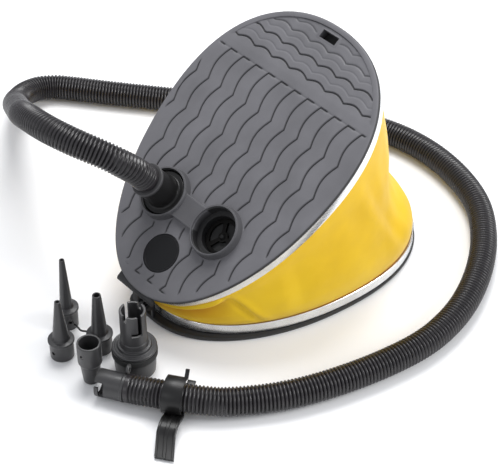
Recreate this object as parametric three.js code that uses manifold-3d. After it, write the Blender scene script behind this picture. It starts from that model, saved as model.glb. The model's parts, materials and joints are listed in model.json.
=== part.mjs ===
// Foot air pump: a bellows pump with a hinged foot pedal, a corrugated hose and loose nozzles.
// Millimetres, +Z up. The origin is on the floor under the centre of the base oval.
// +Y points from the hinge to the far end of the pedal, and +X to the free port's side.

import * as THREE from 'three';
import { mergeVertices } from 'three/addons/utils/BufferGeometryUtils.js';
import Module from 'manifold-3d';

const wasm = await Module();
wasm.setup();

// ---------------------------------------------------------------- driving dimensions

// Each plate is an egg-shaped oval. Its power is 2 for an ellipse and more if squarer, and its taper
// is the share by which the far end is wider and the hinge end narrower.
const PLATE_WIDTH = 217;
const PEDAL_OVAL = { length: 300, middle: -1.5, power: 2.19, taper: 0.16 };
const BASE_OVAL = { length: 290, middle: 0, power: 2.22, taper: 0.128 };
const TRAY_OVAL = { ...BASE_OVAL, length: 296, middle: -3 }; // the tray stands out under the hinge
const OUTLINE_SEGMENTS = 48;
const ROUND_SEGMENTS = 24;
const GAP = 0.3; // between pieces that touch

const HINGE_MIDDLE = -4.5; // the hinge stands a little to the left of the middle line
const HINGE_SETBACK = 8.5; // hinge axis behind the pedal oval's end
const HINGE_Y = -158.5;
const HINGE_Z = 25.7;
const OPEN_ANGLE = THREE.MathUtils.degToRad(36.7);
const PEDAL_TOP = 20.8; // pedal's top face above the hinge axis, square to the plate
const PIN_RADIUS = 2.2;
const KNUCKLE_RADIUS = 6.5;
const PEDAL_KNUCKLE_HALF = 4;
const BASE_KNUCKLE_END = 7.5;
const KNUCKLE_FRONT = -147.2; // the posts' face towards the base band
const KNUCKLE_BACK = -150.5; // and their other face, below the overhanging knuckles

const FOOT_HEIGHT = 1.2; // pads let into the tray's underside, flush with it
const FOOT_RADIUS = 8;
const TRAY_TOP_HINGE = 5; // tray height at the hinge end; it thins towards the far end
const TRAY_TOP_FAR = 2.8;
const LUG_HALF = 24; // under the pedal, above its knuckle
const TONGUE = { half: 7.5, front: -138 }; // under the knuckle posts
const FEET = [
  { place: 'left_rear', x: -48, y: -95 }, { place: 'right_rear', x: 48, y: -95 },
  { place: 'left_front', x: -68, y: 88 }, { place: 'right_front', x: 68, y: 88 },
];

const PLATE_THICKNESS = 5;
const PLATE_BEVEL = 1.5;
const BAND_THICKNESS = 1.2;
const BASE_BAND = { inset: 1.5, low: 0.6, high: 10.6 }; // heights above the tray's top
const PEDAL_BAND = { inset: 3, low: -16.5, high: -6.5 }; // heights from the pedal's top face
const FABRIC = { thickness: 1.6, baseInset: 3.2, pedalInset: 4.4 };

const PORT_MIDDLE = -2.9; // the ports stand a little to the left of the middle line
const PORT_X = 35.9; // from there to each port
const PORT_Y = -66.3;
const PORT_RIM = 8;
const PORT_RADIUS = 24.6;
const BORE_RADIUS = 22;
const THROAT_RADIUS = 18;
const LEDGE_RADIUS = 16;
const BORE_FLOOR = -4;
const LEDGE_TOP = -13.5;
const WELL_BOTTOM = -16;
const SEAT_THICKNESS = 2.5;
const FLAP_THICKNESS = 1;
const FLAP_LIFT = 2.5;
const FLAP_RADIUS = 15.2;
const VALVE_PIN_RADIUS = 1.5;
const VALVE_HEAD_RADIUS = 3;

const BADGE = { x: -3, y: -111.5, radius: 18.6, depth: 2 };
const LATCH_SLOT = { y: 135.5, length: 20, width: 8, depth: 11.5 };

const SPRING = { arm: 165, coilRadius: 22, wire: 1.6, turns: 5, start: -6.4, end: 40.9 };

const HOSE_RADIUS = 13;
const COLLAR_TOP = 36.3; // where the hose starts, above the pedal's top face
const CLIP_WIDTH = 18;

// Hose route, from the port's connector, through the air to TOUCHDOWN, and on along the floor.
const HOSE_ROUTE = [
  [-38.8, -119.1, 127.2], [-39.8, -129.4, 141], [-46.2, -141.3, 152.9], [-57.6, -151.6, 160.9],
  [-78.5, -163.8, 167.2], [-103.1, -171.8, 169.7], [-122.8, -172.3, 167], [-144.6, -168.2, 159.5],
  [-172.2, -157.4, 142.8], [-202, -141.5, 120.5], [-233, -124.5, 97.5], [-263, -108, 75.5],
  [-291, -92.5, 54.5], [-316, -78, 36.5], [-334.5, -62.5, 24], [-345.5, -45.5, 17.8],
  [-347, -28, 15], [-340.5, -13, 13.6], [-327, -0.5, 13.2], [-296.5, 23, 13.2],
  [-254, 57, 13.2], [-200, 101, 13.2], [-146, 143, 13.2], [-95, 180, 13.2], [-46, 203, 13.2],
  [2, 210, 13.2], [50, 204, 13.2], [95, 186, 13.2], [132, 155, 13.2], [162, 116, 13.2],
  [184, 72, 13.2], [194, 33, 13.2], [195.5, -3, 13.2], [184, -68, 13.2], [163, -127, 13.2],
  [134, -174, 13.8], [118.5, -190.5, 15.2], [102, -204, 15.8], [85, -215.6, 15], [65, -228, 13.4],
];
const TOUCHDOWN = 17; // number of the route's point where the hose reaches the floor
const CLIP_POINT = 37; // and where the clip holds it

// ---------------------------------------------------------------- materials

const surface = (color, roughness, metalness) => new THREE.MeshStandardMaterial({ color, roughness, metalness });
const plastic = (color, roughness) => surface(color, roughness, 0);
const metal = (color, roughness) => surface(color, roughness, 1);

const pedalGrey = plastic(0x76757a, 0.7);
const trayBlack = plastic(0x1d1d1f, 0.6);
const nozzleGrey = plastic(0x4b4c4e, 0.55);
const connectorBlack = plastic(0x222224, 0.35);
const hoseBlack = plastic(0x2a2a2c, 0.45);
const badgeBlack = plastic(0x19191b, 0.4);
const footRubber = plastic(0x111112, 0.9);
const flapRubber = plastic(0x2b2b2b, 0.85);
const yellowFabric = plastic(0xe0b840, 0.75);
const galvanisedSteel = metal(0xc8ccd0, 0.3);
const springSteel = metal(0x9a9da0, 0.35);

// ---------------------------------------------------------------- shape helpers

const pump = new THREE.Group();

// Closed body with shared vertices, no empty triangles and its faces pointing out.
function closedBody(geometry) {
  const bare = geometry.index ? geometry.toNonIndexed() : geometry.clone();
  bare.deleteAttribute('normal');
  bare.deleteAttribute('uv');
  const merged = mergeVertices(bare, 1e-3);
  const position = merged.attributes.position;
  const corner = [0, 1, 2].map(() => new THREE.Vector3());
  const triangles = [];
  let volume = 0;
  for (let i = 0; i < merged.index.count; i += 3) {
    const ids = [0, 1, 2].map((k) => merged.index.getX(i + k));
    if (ids[0] === ids[1] || ids[1] === ids[2] || ids[2] === ids[0]) continue;
    corner.forEach((point, k) => point.fromBufferAttribute(position, ids[k]));
    volume += corner[0].dot(corner[1].clone().cross(corner[2]));
    triangles.push(ids);
  }
  const outward = volume < 0 ? triangles.map(([a, b, c]) => [a, c, b]) : triangles;
  merged.setIndex(outward.flat());
  return merged;
}

function toSolid(geometry) {
  const body = closedBody(geometry);
  return new wasm.Manifold(new wasm.Mesh({
    numProp: 3,
    vertProperties: Float32Array.from(body.attributes.position.array),
    triVerts: Uint32Array.from(body.index.array),
  }));
}

function fromSolid(solid) {
  const mesh = solid.getMesh();
  const geometry = new THREE.BufferGeometry();
  geometry.setAttribute('position', new THREE.BufferAttribute(mesh.vertProperties, 3));
  geometry.setIndex(new THREE.BufferAttribute(mesh.triVerts, 1));
  return geometry;
}

function add(parent, name, geometry, material) {
  const mesh = new THREE.Mesh(closedBody(geometry), material);
  mesh.name = name;
  parent.add(mesh);
  return mesh;
}

// Body turned about Z from [radius, height] points that start and end on the axis.
function turned(points, segments = ROUND_SEGMENTS) {
  const profile = points.map(([radius, height]) => new THREE.Vector2(radius, height));
  return new THREE.LatheGeometry(profile, segments).rotateX(Math.PI / 2);
}

// Ring turned about Z from [radius, height] points that go round its section.
function turnedRing(points, segments = ROUND_SEGMENTS) {
  return turned([...points, points[0]], segments);
}

function disc(radius, low, high, segments = ROUND_SEGMENTS) {
  return turned([[0, low], [radius, low], [radius, high], [0, high]], segments);
}

function sleeve(outer, inner, low, high, segments = ROUND_SEGMENTS) {
  return turnedRing([[outer, low], [outer, high], [inner, high], [inner, low]], segments);
}

function box(low, high) {
  const size = high.map((value, i) => value - low[i]);
  const centre = high.map((value, i) => (value + low[i]) / 2);
  return new THREE.BoxGeometry(...size).translate(...centre);
}

// Moves each vertex by a function of its x, y and z.
function warp(geometry, move) {
  const position = geometry.attributes.position;
  for (let i = 0; i < position.count; i += 1) {
    position.setXYZ(i, ...move(position.getX(i), position.getY(i), position.getZ(i)));
  }
  return geometry;
}

const signedPower = (value, power) => Math.sign(value) * Math.abs(value) ** power;

// Point on the plate outline at a turned body's angle, as far in from it as the radius says.
function onOutline(x, y, { length, middle, power, taper }) {
  const radius = Math.hypot(x, y);
  if (radius < 1e-3) return [0, middle];
  const inset = PLATE_WIDTH / 2 - radius;
  const along = (length / 2 - inset) * signedPower(y / radius, 2 / power);
  const widening = 1 + taper * along / (length / 2);
  return [radius * signedPower(x / radius, 2 / power) * widening, middle + along];
}

// Profile points are [inset from the outline, height]; null for the inset means the centre.
const outlineProfile = (points) =>
  points.map(([inset, height]) => [inset === null ? 0 : PLATE_WIDTH / 2 - inset, height]);

function outlined(geometry, oval) {
  return warp(geometry, (x, y, z) => [...onOutline(x, y, oval), z]);
}

function outlinedPlate(points, oval) {
  return outlined(turned(outlineProfile(points), OUTLINE_SEGMENTS), oval);
}

function outlinedRing(points, oval) {
  return outlined(turnedRing(outlineProfile(points), OUTLINE_SEGMENTS), oval);
}

const bandSection = ({ inset, low, high }) => [
  [inset, low], [inset, high], [inset + BAND_THICKNESS, high], [inset + BAND_THICKNESS, low],
];

// Outline in the YZ plane, extruded along X from low to high.
function acrossX(outline, low, high) {
  const shape = new THREE.Shape(outline.map(([y, z]) => new THREE.Vector2(y, z)));
  const geometry = new THREE.ExtrudeGeometry(shape, { depth: high - low, bevelEnabled: false });
  return warp(geometry, (y, z, x) => [x + low, y, z]);
}

function barAlongX(radius, y, z, low, high, segments = 24) {
  const bar = disc(radius, low, high, segments).rotateY(Math.PI / 2);
  return bar.translate(0, y, z);
}

// ---------------------------------------------------------------- base

const trayTop = (y) => {
  const along = y / BASE_OVAL.length + 0.5;
  return TRAY_TOP_HINGE + (TRAY_TOP_FAR - TRAY_TOP_HINGE) * along;
};
const onTray = (geometry) => warp(geometry, (x, y, z) => [x, y, z + trayTop(y)]);

const UPSTAND = {
  base: { outer: 5.1, inner: 8.1, height: 9.5 },
  pedal: { outer: 6.6, inner: 9.6, bottom: -15 },
};

function makeTray() {
  const plate = outlinedPlate([[null, 0], [0, 0], [0, 1], [null, 1]], TRAY_OVAL);
  warp(plate, (x, y, z) => [x, y, z * trayTop(y)]);
  const { outer, inner, height } = UPSTAND.base;
  const wall = [[outer, -1], [outer, height], [inner, height], [inner, -1]];
  const upstand = onTray(outlinedRing(wall, BASE_OVAL));
  const springY = HINGE_Y + SPRING.arm;
  const springRing = sleeve(SPRING.coilRadius - 4, SPRING.coilRadius - 7, 2, 9).translate(0, springY, 0);
  const tongue = box([HINGE_MIDDLE - TONGUE.half, KNUCKLE_BACK, 0],
    [HINGE_MIDDLE + TONGUE.half, TONGUE.front, TRAY_TOP_HINGE - 0.5]);
  let tray = toSolid(plate).add(toSolid(upstand)).add(toSolid(springRing)).add(toSolid(tongue));
  for (const side of [-1, 1]) {
    const low = HINGE_MIDDLE + (side < 0 ? -BASE_KNUCKLE_END : PEDAL_KNUCKLE_HALF + GAP);
    const high = HINGE_MIDDLE + (side < 0 ? -PEDAL_KNUCKLE_HALF - GAP : BASE_KNUCKLE_END);
    const post = acrossX([
      [KNUCKLE_BACK, 0], [KNUCKLE_FRONT, 0], [KNUCKLE_FRONT, 19], [HINGE_Y + 5.6, HINGE_Z + 3.2],
      [HINGE_Y, HINGE_Z], [HINGE_Y - 3.2, HINGE_Z - 5.6], [KNUCKLE_BACK, 14],
    ], low, high);
    const eye = barAlongX(KNUCKLE_RADIUS, HINGE_Y, HINGE_Z, low, high);
    tray = tray.add(toSolid(post)).add(toSolid(eye));
  }
  const pinHole = barAlongX(PIN_RADIUS + GAP, HINGE_Y, HINGE_Z, -40, 40);
  tray = tray.subtract(toSolid(pinHole));
  for (const { x, y } of FEET) {
    tray = tray.subtract(toSolid(disc(FOOT_RADIUS + GAP, -1, FOOT_HEIGHT + GAP, 14).translate(x, y, 0)));
  }
  return fromSolid(tray);
}

add(pump, 'base_tray', makeTray(), trayBlack);
add(pump, 'base_band', onTray(outlinedRing(bandSection(BASE_BAND), BASE_OVAL)), galvanisedSteel);

for (const { place, x, y } of FEET) {
  add(pump, `foot_${place}`, disc(FOOT_RADIUS, 0, FOOT_HEIGHT, 14).translate(x, y, 0), footRubber);
}

const PIN_END = BASE_KNUCKLE_END + 3;
const PIN_CLIP = { radius: 4.2, thickness: 1.4 };
const pinLow = HINGE_MIDDLE - PIN_END;
const pinHigh = HINGE_MIDDLE + PIN_END;
add(pump, 'hinge_pin', barAlongX(PIN_RADIUS, HINGE_Y, HINGE_Z, pinLow, pinHigh), springSteel);
for (const [side, name] of [[-1, 'left'], [1, 'right']]) {
  const near = BASE_KNUCKLE_END + GAP;
  const clip = sleeve(PIN_CLIP.radius, PIN_RADIUS + GAP, near, near + PIN_CLIP.thickness, 12);
  clip.rotateY(side * Math.PI / 2).translate(HINGE_MIDDLE, HINGE_Y, HINGE_Z);
  add(pump, `pin_clip_${name}`, clip, springSteel);
}

// ---------------------------------------------------------------- pedal

// The hinge group turns with the pedal. Inside it, the pedal's own frame has its origin at the
// centre of the top face.
const hinge = new THREE.Group();
hinge.position.set(0, HINGE_Y, HINGE_Z);
hinge.rotation.x = OPEN_ANGLE;
pump.add(hinge);
const pedal = new THREE.Group();
pedal.position.set(0, PEDAL_OVAL.length / 2 + HINGE_SETBACK, PEDAL_TOP);
hinge.add(pedal);
const AXIS_IN_PEDAL = { y: -pedal.position.y, z: -PEDAL_TOP };

const portAt = (side) => PORT_MIDDLE + side * PORT_X;

function portBody(side) {
  return toSolid(turned([
    [0, WELL_BOTTOM], [BORE_RADIUS + 2, WELL_BOTTOM], [BORE_RADIUS + 2, -3], [PORT_RADIUS + 1.2, -3],
    [PORT_RADIUS, PORT_RIM - 1], [PORT_RADIUS - 1, PORT_RIM], [0, PORT_RIM],
  ]).translate(portAt(side), PORT_Y, 0));
}

function portBore(side) {
  return toSolid(turned([
    [0, WELL_BOTTOM - 1], [LEDGE_RADIUS, WELL_BOTTOM - 1], [LEDGE_RADIUS, LEDGE_TOP],
    [THROAT_RADIUS, LEDGE_TOP], [THROAT_RADIUS, BORE_FLOOR], [BORE_RADIUS, BORE_FLOOR],
    [BORE_RADIUS, PORT_RIM + 1], [0, PORT_RIM + 1],
  ]).translate(portAt(side), PORT_Y, 0));
}

function makePedal() {
  const low = -PLATE_THICKNESS;
  const plate = outlinedPlate([
    [null, low], [0, low], [0, -PLATE_BEVEL],
    [PLATE_BEVEL * 0.3, -PLATE_BEVEL * 0.3], [PLATE_BEVEL, 0], [null, 0],
  ], PEDAL_OVAL);
  const { outer, inner, bottom } = UPSTAND.pedal;
  const wall = [[outer, bottom], [outer, low + 1], [inner, low + 1], [inner, bottom]];
  const upstand = outlinedRing(wall, PEDAL_OVAL);
  const springY = SPRING.arm + AXIS_IN_PEDAL.y;
  const springRing = sleeve(SPRING.coilRadius - 4, SPRING.coilRadius - 7, low - 6, low + 1);
  springRing.translate(0, springY, 0);
  const web = box([PORT_MIDDLE - 14, PORT_Y - 12, -1], [PORT_MIDDLE + 14, PORT_Y + 12, 5.5]);
  const slotWallEnd = PEDAL_OVAL.length / 2 + PEDAL_OVAL.middle - UPSTAND.pedal.outer - 1;
  const slotWall = box([-13, 129, -15], [13, slotWallEnd, -1]);
  const lug = acrossX([
    [-138, -1.5], [-138, -5], [-150.5, -5], [-150.5, -9], [-155, -9], [-155, -3.5], [-153, -1.5],
  ], HINGE_MIDDLE - LUG_HALF, HINGE_MIDDLE + LUG_HALF);
  const eyeY = AXIS_IN_PEDAL.y;
  const left = HINGE_MIDDLE - PEDAL_KNUCKLE_HALF;
  const right = HINGE_MIDDLE + PEDAL_KNUCKLE_HALF;
  const arm = box([left, eyeY - 3, AXIS_IN_PEDAL.z], [right, eyeY + 7.5, -8]);
  const eye = barAlongX(KNUCKLE_RADIUS, eyeY, AXIS_IN_PEDAL.z, left, right);
  const pinHole = barAlongX(PIN_RADIUS + GAP, eyeY, AXIS_IN_PEDAL.z, -40, 40);
  const badgePocket = disc(BADGE.radius + GAP, -BADGE.depth, 1).translate(BADGE.x, BADGE.y, 0);
  const slot = box(
    [-LATCH_SLOT.length / 2, LATCH_SLOT.y - LATCH_SLOT.width / 2, -LATCH_SLOT.depth],
    [LATCH_SLOT.length / 2, LATCH_SLOT.y + LATCH_SLOT.width / 2, 1],
  );
  let solid = toSolid(plate);
  for (const piece of [upstand, springRing, web, slotWall, lug, arm, eye]) solid = solid.add(toSolid(piece));
  for (const side of [-1, 1]) solid = solid.add(portBody(side));
  for (const side of [-1, 1]) solid = solid.subtract(portBore(side));
  for (const hollow of [pinHole, badgePocket, slot]) solid = solid.subtract(toSolid(hollow));
  return fromSolid(solid);
}

add(pedal, 'pedal_plate', makePedal(), pedalGrey);
add(pedal, 'pedal_band', outlinedRing(bandSection(PEDAL_BAND), PEDAL_OVAL), galvanisedSteel);
const badge = disc(BADGE.radius, -BADGE.depth + GAP, -0.4).translate(BADGE.x, BADGE.y, 0);
add(pedal, 'badge_disc', badge, badgeBlack);

// ---------------------------------------------------------------- valves

const SEAT_LOW = LEDGE_TOP + GAP;
const SEAT_HIGH = SEAT_LOW + SEAT_THICKNESS;

// Three-spoked disc: an outer ring, three windows and a hub with the pin's hole.
function valveSeat() {
  const shape = new THREE.Shape();
  shape.absarc(0, 0, THROAT_RADIUS - GAP, 0, 2 * Math.PI);
  const pinHole = new THREE.Path();
  pinHole.absarc(0, 0, VALVE_PIN_RADIUS + GAP, 0, 2 * Math.PI, true);
  shape.holes.push(pinHole);
  for (let i = 0; i < 3; i += 1) {
    const from = 2 * Math.PI * i / 3 + 0.22;
    const to = 2 * Math.PI * (i + 1) / 3 - 0.22;
    const window = new THREE.Path();
    window.absarc(0, 0, 14, from, to, false);
    window.absarc(0, 0, 5, to - 0.3, from + 0.3, true);
    window.closePath();
    shape.holes.push(window);
  }
  const options = { depth: SEAT_THICKNESS, bevelEnabled: false, curveSegments: 5 };
  const geometry = new THREE.ExtrudeGeometry(shape, options);
  return geometry.translate(0, 0, SEAT_LOW);
}

// Rivet-shaped pin whose heads stand at the given lower and upper faces.
function valvePin(low, high) {
  return turned([
    [0, low - 1.3], [VALVE_HEAD_RADIUS, low - 1.3], [VALVE_HEAD_RADIUS, low], [VALVE_PIN_RADIUS, low],
    [VALVE_PIN_RADIUS, high], [VALVE_HEAD_RADIUS, high],
    [VALVE_HEAD_RADIUS * 0.6, high + 1.3], [0, high + 1.3],
  ], 12);
}

// The intake flap hangs under its seat and the outlet flap lies on top of its own.
const VALVES = [
  { name: 'intake', x: portAt(1), flapLow: SEAT_LOW - GAP - FLAP_THICKNESS, opens: -1 },
  { name: 'outlet', x: portAt(-1), flapLow: SEAT_HIGH + GAP, opens: 1 },
];
for (const { name, x, flapLow, opens } of VALVES) {
  const flapHigh = flapLow + FLAP_THICKNESS;
  const travel = FLAP_LIFT + GAP;
  const pinLow = opens < 0 ? flapLow - travel : SEAT_LOW - GAP;
  const pinHigh = opens < 0 ? SEAT_HIGH + GAP : flapHigh + travel;
  add(pedal, `${name}_seat`, valveSeat().translate(x, PORT_Y, 0), connectorBlack);
  const flap = sleeve(FLAP_RADIUS, VALVE_PIN_RADIUS + GAP, flapLow, flapHigh, 18);
  add(pedal, `${name}_flap`, flap.translate(x, PORT_Y, 0), flapRubber);
  add(pedal, `${name}_pin`, valvePin(pinLow, pinHigh).translate(x, PORT_Y, 0), connectorBlack);
}

// ---------------------------------------------------------------- bellows and return spring

const planeFromHinge = (angle, arm, rise) => [
  HINGE_Y + arm * Math.cos(angle) - rise * Math.sin(angle),
  HINGE_Z + arm * Math.sin(angle) + rise * Math.cos(angle),
];

function basePoint(x, y, rise) {
  const [px, py] = onOutline(x, y, BASE_OVAL);
  return new THREE.Vector3(px, py, trayTop(py) + rise);
}

function pedalPoint(x, y, rise) {
  const [px, py] = onOutline(x, y, PEDAL_OVAL);
  const [wy, wz] = planeFromHinge(OPEN_ANGLE, py - AXIS_IN_PEDAL.y, rise - AXIS_IN_PEDAL.z);
  return new THREE.Vector3(px, wy, wz);
}

// Fabric sleeve, open at both ends, clamped between the upstands and the bands. Each profile
// height is a row number: the first and last two rows are the clamped hems.
const FABRIC_ROWS = 7;
const FABRIC_BULGE = 7;
function makeBellows() {
  const outer = PLATE_WIDTH / 2 - FABRIC.baseInset;
  const narrowing = FABRIC.pedalInset - FABRIC.baseInset;
  const points = [];
  for (let row = 0; row <= FABRIC_ROWS; row += 1) points.push([outer, row]);
  for (let row = FABRIC_ROWS; row >= 0; row -= 1) points.push([outer - FABRIC.thickness, row]);
  return warp(turnedRing(points, OUTLINE_SEGMENTS), (x, y, row) => {
    const low = basePoint(x, y, 0.9);
    const lowHem = basePoint(x, y, BASE_BAND.high + 0.4);
    const radius = Math.hypot(x, y);
    const share = 1 - narrowing / radius;
    const highHem = pedalPoint(x * share, y * share, PEDAL_BAND.low - 0.4);
    const high = pedalPoint(x * share, y * share, -PLATE_THICKNESS - 0.6);
    if (row < 0.5) return low.toArray();
    if (row > FABRIC_ROWS - 0.5) return high.toArray();
    const t = (row - 1) / (FABRIC_ROWS - 2);
    const point = lowHem.clone().lerp(highHem, t);
    const swell = FABRIC_BULGE * Math.sin(Math.PI * t ** 0.6) * lowHem.distanceTo(highHem) / 200;
    point.x += swell * x / radius;
    point.y += swell * y / radius;
    return point.toArray();
  });
}
add(pump, 'bellows', makeBellows(), yellowFabric);

// Coil spring whose centre line is an arc about the hinge axis.
class SpringLine extends THREE.Curve {
  getPoint(t, target = new THREE.Vector3()) {
    const angle = THREE.MathUtils.degToRad(SPRING.start + (SPRING.end - SPRING.start) * t);
    const turn = 2 * Math.PI * SPRING.turns * t;
    const arm = SPRING.arm + SPRING.coilRadius * Math.sin(turn);
    const [y, z] = planeFromHinge(angle, arm, 0);
    return target.set(SPRING.coilRadius * Math.cos(turn), y, z);
  }
}

function roundShape(radius, sides) {
  const points = [];
  for (let i = 0; i < sides; i += 1) {
    const angle = 2 * Math.PI * (i + 0.5) / sides;
    points.push(new THREE.Vector2(radius * Math.cos(angle), radius * Math.sin(angle)));
  }
  return new THREE.Shape(points);
}

function along(curve, radius, sides, steps) {
  return new THREE.ExtrudeGeometry(roundShape(radius, sides), { steps, extrudePath: curve });
}
add(pump, 'return_spring', along(new SpringLine(), SPRING.wire, 6, SPRING.turns * 12), springSteel);

// ---------------------------------------------------------------- hose and its connectors

const toVectors = (route) => route.map((point) => new THREE.Vector3(...point));
const hoseCurve = new THREE.CatmullRomCurve3(toVectors(HOSE_ROUTE), false, 'centripetal');

// Part of the hose between two of the route's points, by number.
class HoseStretch extends THREE.Curve {
  constructor(from, to) {
    super();
    this.from = from / (HOSE_ROUTE.length - 1);
    this.to = to / (HOSE_ROUTE.length - 1);
  }

  getPoint(t, target = new THREE.Vector3()) {
    return hoseCurve.getPoint(this.from + (this.to - this.from) * t, target);
  }
}

const pumpConnector = turnedRing([
  [11.5, BORE_FLOOR + GAP], [21.4, BORE_FLOOR + GAP], [21.4, 5], [20, 6], [15.4, 6], [15, 32.5], [16, 33],
  [16, COLLAR_TOP - GAP], [11.5, COLLAR_TOP - GAP],
]).translate(portAt(-1), PORT_Y, 0);
add(pedal, 'pump_connector', pumpConnector, connectorBlack);

const JOIN = 0.02; // gap between the two stretches, as a share of the route's step there
const lead = new HoseStretch(0, TOUCHDOWN - JOIN);
const run = new HoseStretch(TOUCHDOWN, HOSE_ROUTE.length - 1);
add(pump, 'hose_lead', along(lead, HOSE_RADIUS, 8, 20), hoseBlack);
add(pump, 'hose_run', along(run, HOSE_RADIUS, 8, 38), hoseBlack);

// Group at the hose's end, turned so that its Z axis points out of the connector.
const hoseEnd = new THREE.Group();
const endDirection = hoseCurve.getTangent(1).setZ(0).normalize();
hoseEnd.position.copy(hoseCurve.getPoint(1)).setZ(HOSE_RADIUS + 0.2);
hoseEnd.quaternion.setFromRotationMatrix(new THREE.Matrix4().makeBasis(
  new THREE.Vector3(endDirection.y, -endDirection.x, 0),
  new THREE.Vector3(0, 0, -1),
  endDirection,
));
pump.add(hoseEnd);

// Bayonet connector: a thin sleeve with two hooked slots, and a collar with an eyelet.
const END_CONNECTOR = { outer: 12.6, inner: 10.4, collar: 13, start: 1, length: 27 };
const END_EYELET = { angle: 305, out: 16.8, radius: 4.8, hole: 2.2, thickness: 2.2 };
const END_MOUTH = { from: 202, to: 224, low: 18.4 };
const END_HOOK = { from: 147, to: 224, low: 18.4, high: 23.4 };

// Part of a wall between two angles in degrees, for cutting slots.
function sector({ from, to, low, high }, inner, outer) {
  const [start, end] = [from, to].map(THREE.MathUtils.degToRad);
  const shape = new THREE.Shape();
  shape.absarc(0, 0, outer, start, end, false);
  shape.absarc(0, 0, inner, end, start, true);
  const options = { depth: high - low, bevelEnabled: false, curveSegments: 6 };
  const geometry = new THREE.ExtrudeGeometry(shape, options);
  return geometry.translate(0, 0, low);
}

function makeEndConnector() {
  const { outer, inner, collar, start, length } = END_CONNECTOR;
  let solid = toSolid(turnedRing([
    [inner, start], [collar, start], [collar, start + 3],
    [outer, start + 3.5], [outer, length], [inner, length],
  ]));
  const { angle, out, radius, hole, thickness } = END_EYELET;
  const turn = THREE.MathUtils.degToRad(angle);
  const inPlace = (geometry) => toSolid(geometry.translate(out * Math.cos(turn), out * Math.sin(turn), 0));
  solid = solid.add(inPlace(disc(radius, start, start + thickness, 16)));
  solid = solid.subtract(inPlace(disc(hole, start - 1, start + thickness + 1, 12)));
  solid = solid.subtract(toSolid(disc(inner, start - 1, length + 1)));
  for (const half of [0, Math.PI]) {
    for (const slot of [{ ...END_MOUTH, high: length + 1 }, END_HOOK]) {
      solid = solid.subtract(toSolid(sector(slot, inner - 2, outer + 2).rotateZ(half)));
    }
  }
  return fromSolid(solid);
}
add(hoseEnd, 'hose_end_connector', makeEndConnector(), nozzleGrey);

// ---------------------------------------------------------------- hose clip

// The clip's frame has its origin on the ring's axis, Z along the hose towards its end, X level
// and away from the pump, and Y up.
const CLIP = { inner: 15.1, outer: 17.1, gapFrom: 130, gapTo: 180 };
const CLIP_TABS = [
  { angle: 130, reach: 24.5, low: -9, high: -5.5 },
  { angle: 181, reach: 20.5, low: -13, high: -5.5 },
];
const CLIP_ARM = { width: 17, shift: -2.3, bendAt: 38, bend: -0.205 }; // it turns sideways past bendAt
const clipGroup = new THREE.Group();
const clipDirection = hoseCurve.points[CLIP_POINT + 1].clone();
clipDirection.sub(hoseCurve.points[CLIP_POINT - 1]).setZ(0).normalize();
clipGroup.position.copy(hoseCurve.points[CLIP_POINT]).setZ(CLIP.outer + 0.2);
clipGroup.quaternion.setFromRotationMatrix(new THREE.Matrix4().makeBasis(
  new THREE.Vector3(-clipDirection.y, clipDirection.x, 0),
  new THREE.Vector3(0, 0, 1),
  new THREE.Vector3(clipDirection.x, clipDirection.y, 0),
));
pump.add(clipGroup);

// Strip of the given thickness along a line of [x, y] points.
function strip(line, thickness) {
  const curve = new THREE.SplineCurve(line.map(([x, y]) => new THREE.Vector2(x, y)));
  const samples = curve.getPoints(14);
  const edge = (side) => samples.map((point, i) => {
    const tangent = curve.getTangent(i / 14);
    return new THREE.Vector2(point.x - side * tangent.y, point.y + side * tangent.x);
  });
  return new THREE.Shape([...edge(thickness / 2), ...edge(-thickness / 2).reverse()]);
}

function makeClip() {
  const { inner, outer, gapFrom, gapTo } = CLIP;
  const end = THREE.MathUtils.degToRad(gapFrom);
  const start = THREE.MathUtils.degToRad(gapTo) - 2 * Math.PI;
  const ring = new THREE.Shape();
  ring.absarc(0, 0, outer, start, end, false);
  ring.absarc(0, 0, inner, end, start, true);
  const floorLevel = -CLIP.outer;
  const arm = strip([
    [11, -11], [17, -9.5], [24, -6.6], [32, -6.2], [40, -9.5], [50, -12.6], [60, floorLevel + 2],
  ], 3);
  const extrude = (shape, width) =>
    new THREE.ExtrudeGeometry(shape, { depth: width, bevelEnabled: false, curveSegments: 20 })
      .translate(0, 0, -width / 2);
  const { width, shift, bendAt, bend } = CLIP_ARM;
  const sideways = (x) => shift + bend * Math.max(0, x - bendAt);
  const bentArm = warp(extrude(arm, width), (x, y, z) => [x, y, z + sideways(x)]);
  let solid = toSolid(extrude(ring, CLIP_WIDTH)).add(toSolid(bentArm));
  for (const { angle, reach, low, high } of CLIP_TABS) {
    const tab = box([inner + 0.3, -1.1, low], [reach, 1.1, high]).rotateZ(THREE.MathUtils.degToRad(angle));
    solid = solid.add(toSolid(tab));
  }
  const bore = disc(inner - 0.05, -CLIP_WIDTH, CLIP_WIDTH, 40);
  return fromSolid(solid.subtract(toSolid(bore)));
}
add(clipGroup, 'hose_clip', makeClip(), connectorBlack);

// ---------------------------------------------------------------- loose nozzles and adapters

const PEG_HOLE_RADIUS = 1.6;

// Cup with a flange, a cone and a straight-through bore. It stands on its open cup.
function nozzle({ cup, flange, cupHeight, coneBase, tip, tipBore, height, wall }) {
  const body = turnedRing([
    [cup - wall, 0], [cup, 0.6], [cup, cupHeight - 2.4], [flange, cupHeight - 1.8], [flange, cupHeight],
    [coneBase, cupHeight + 1], [tip, height - 0.4], [tip - 0.4, height], [tipBore, height],
    [coneBase - wall, cupHeight], [coneBase - wall, cupHeight - 2], [cup - wall, cupHeight - 2.4],
  ], 16);
  const pegHole = disc(PEG_HOLE_RADIUS, 0, cup + 2, 10).rotateX(Math.PI / 2);
  pegHole.translate(0, 0, cupHeight * 0.55);
  return toSolid(body).subtract(toSolid(pegHole));
}

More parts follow.
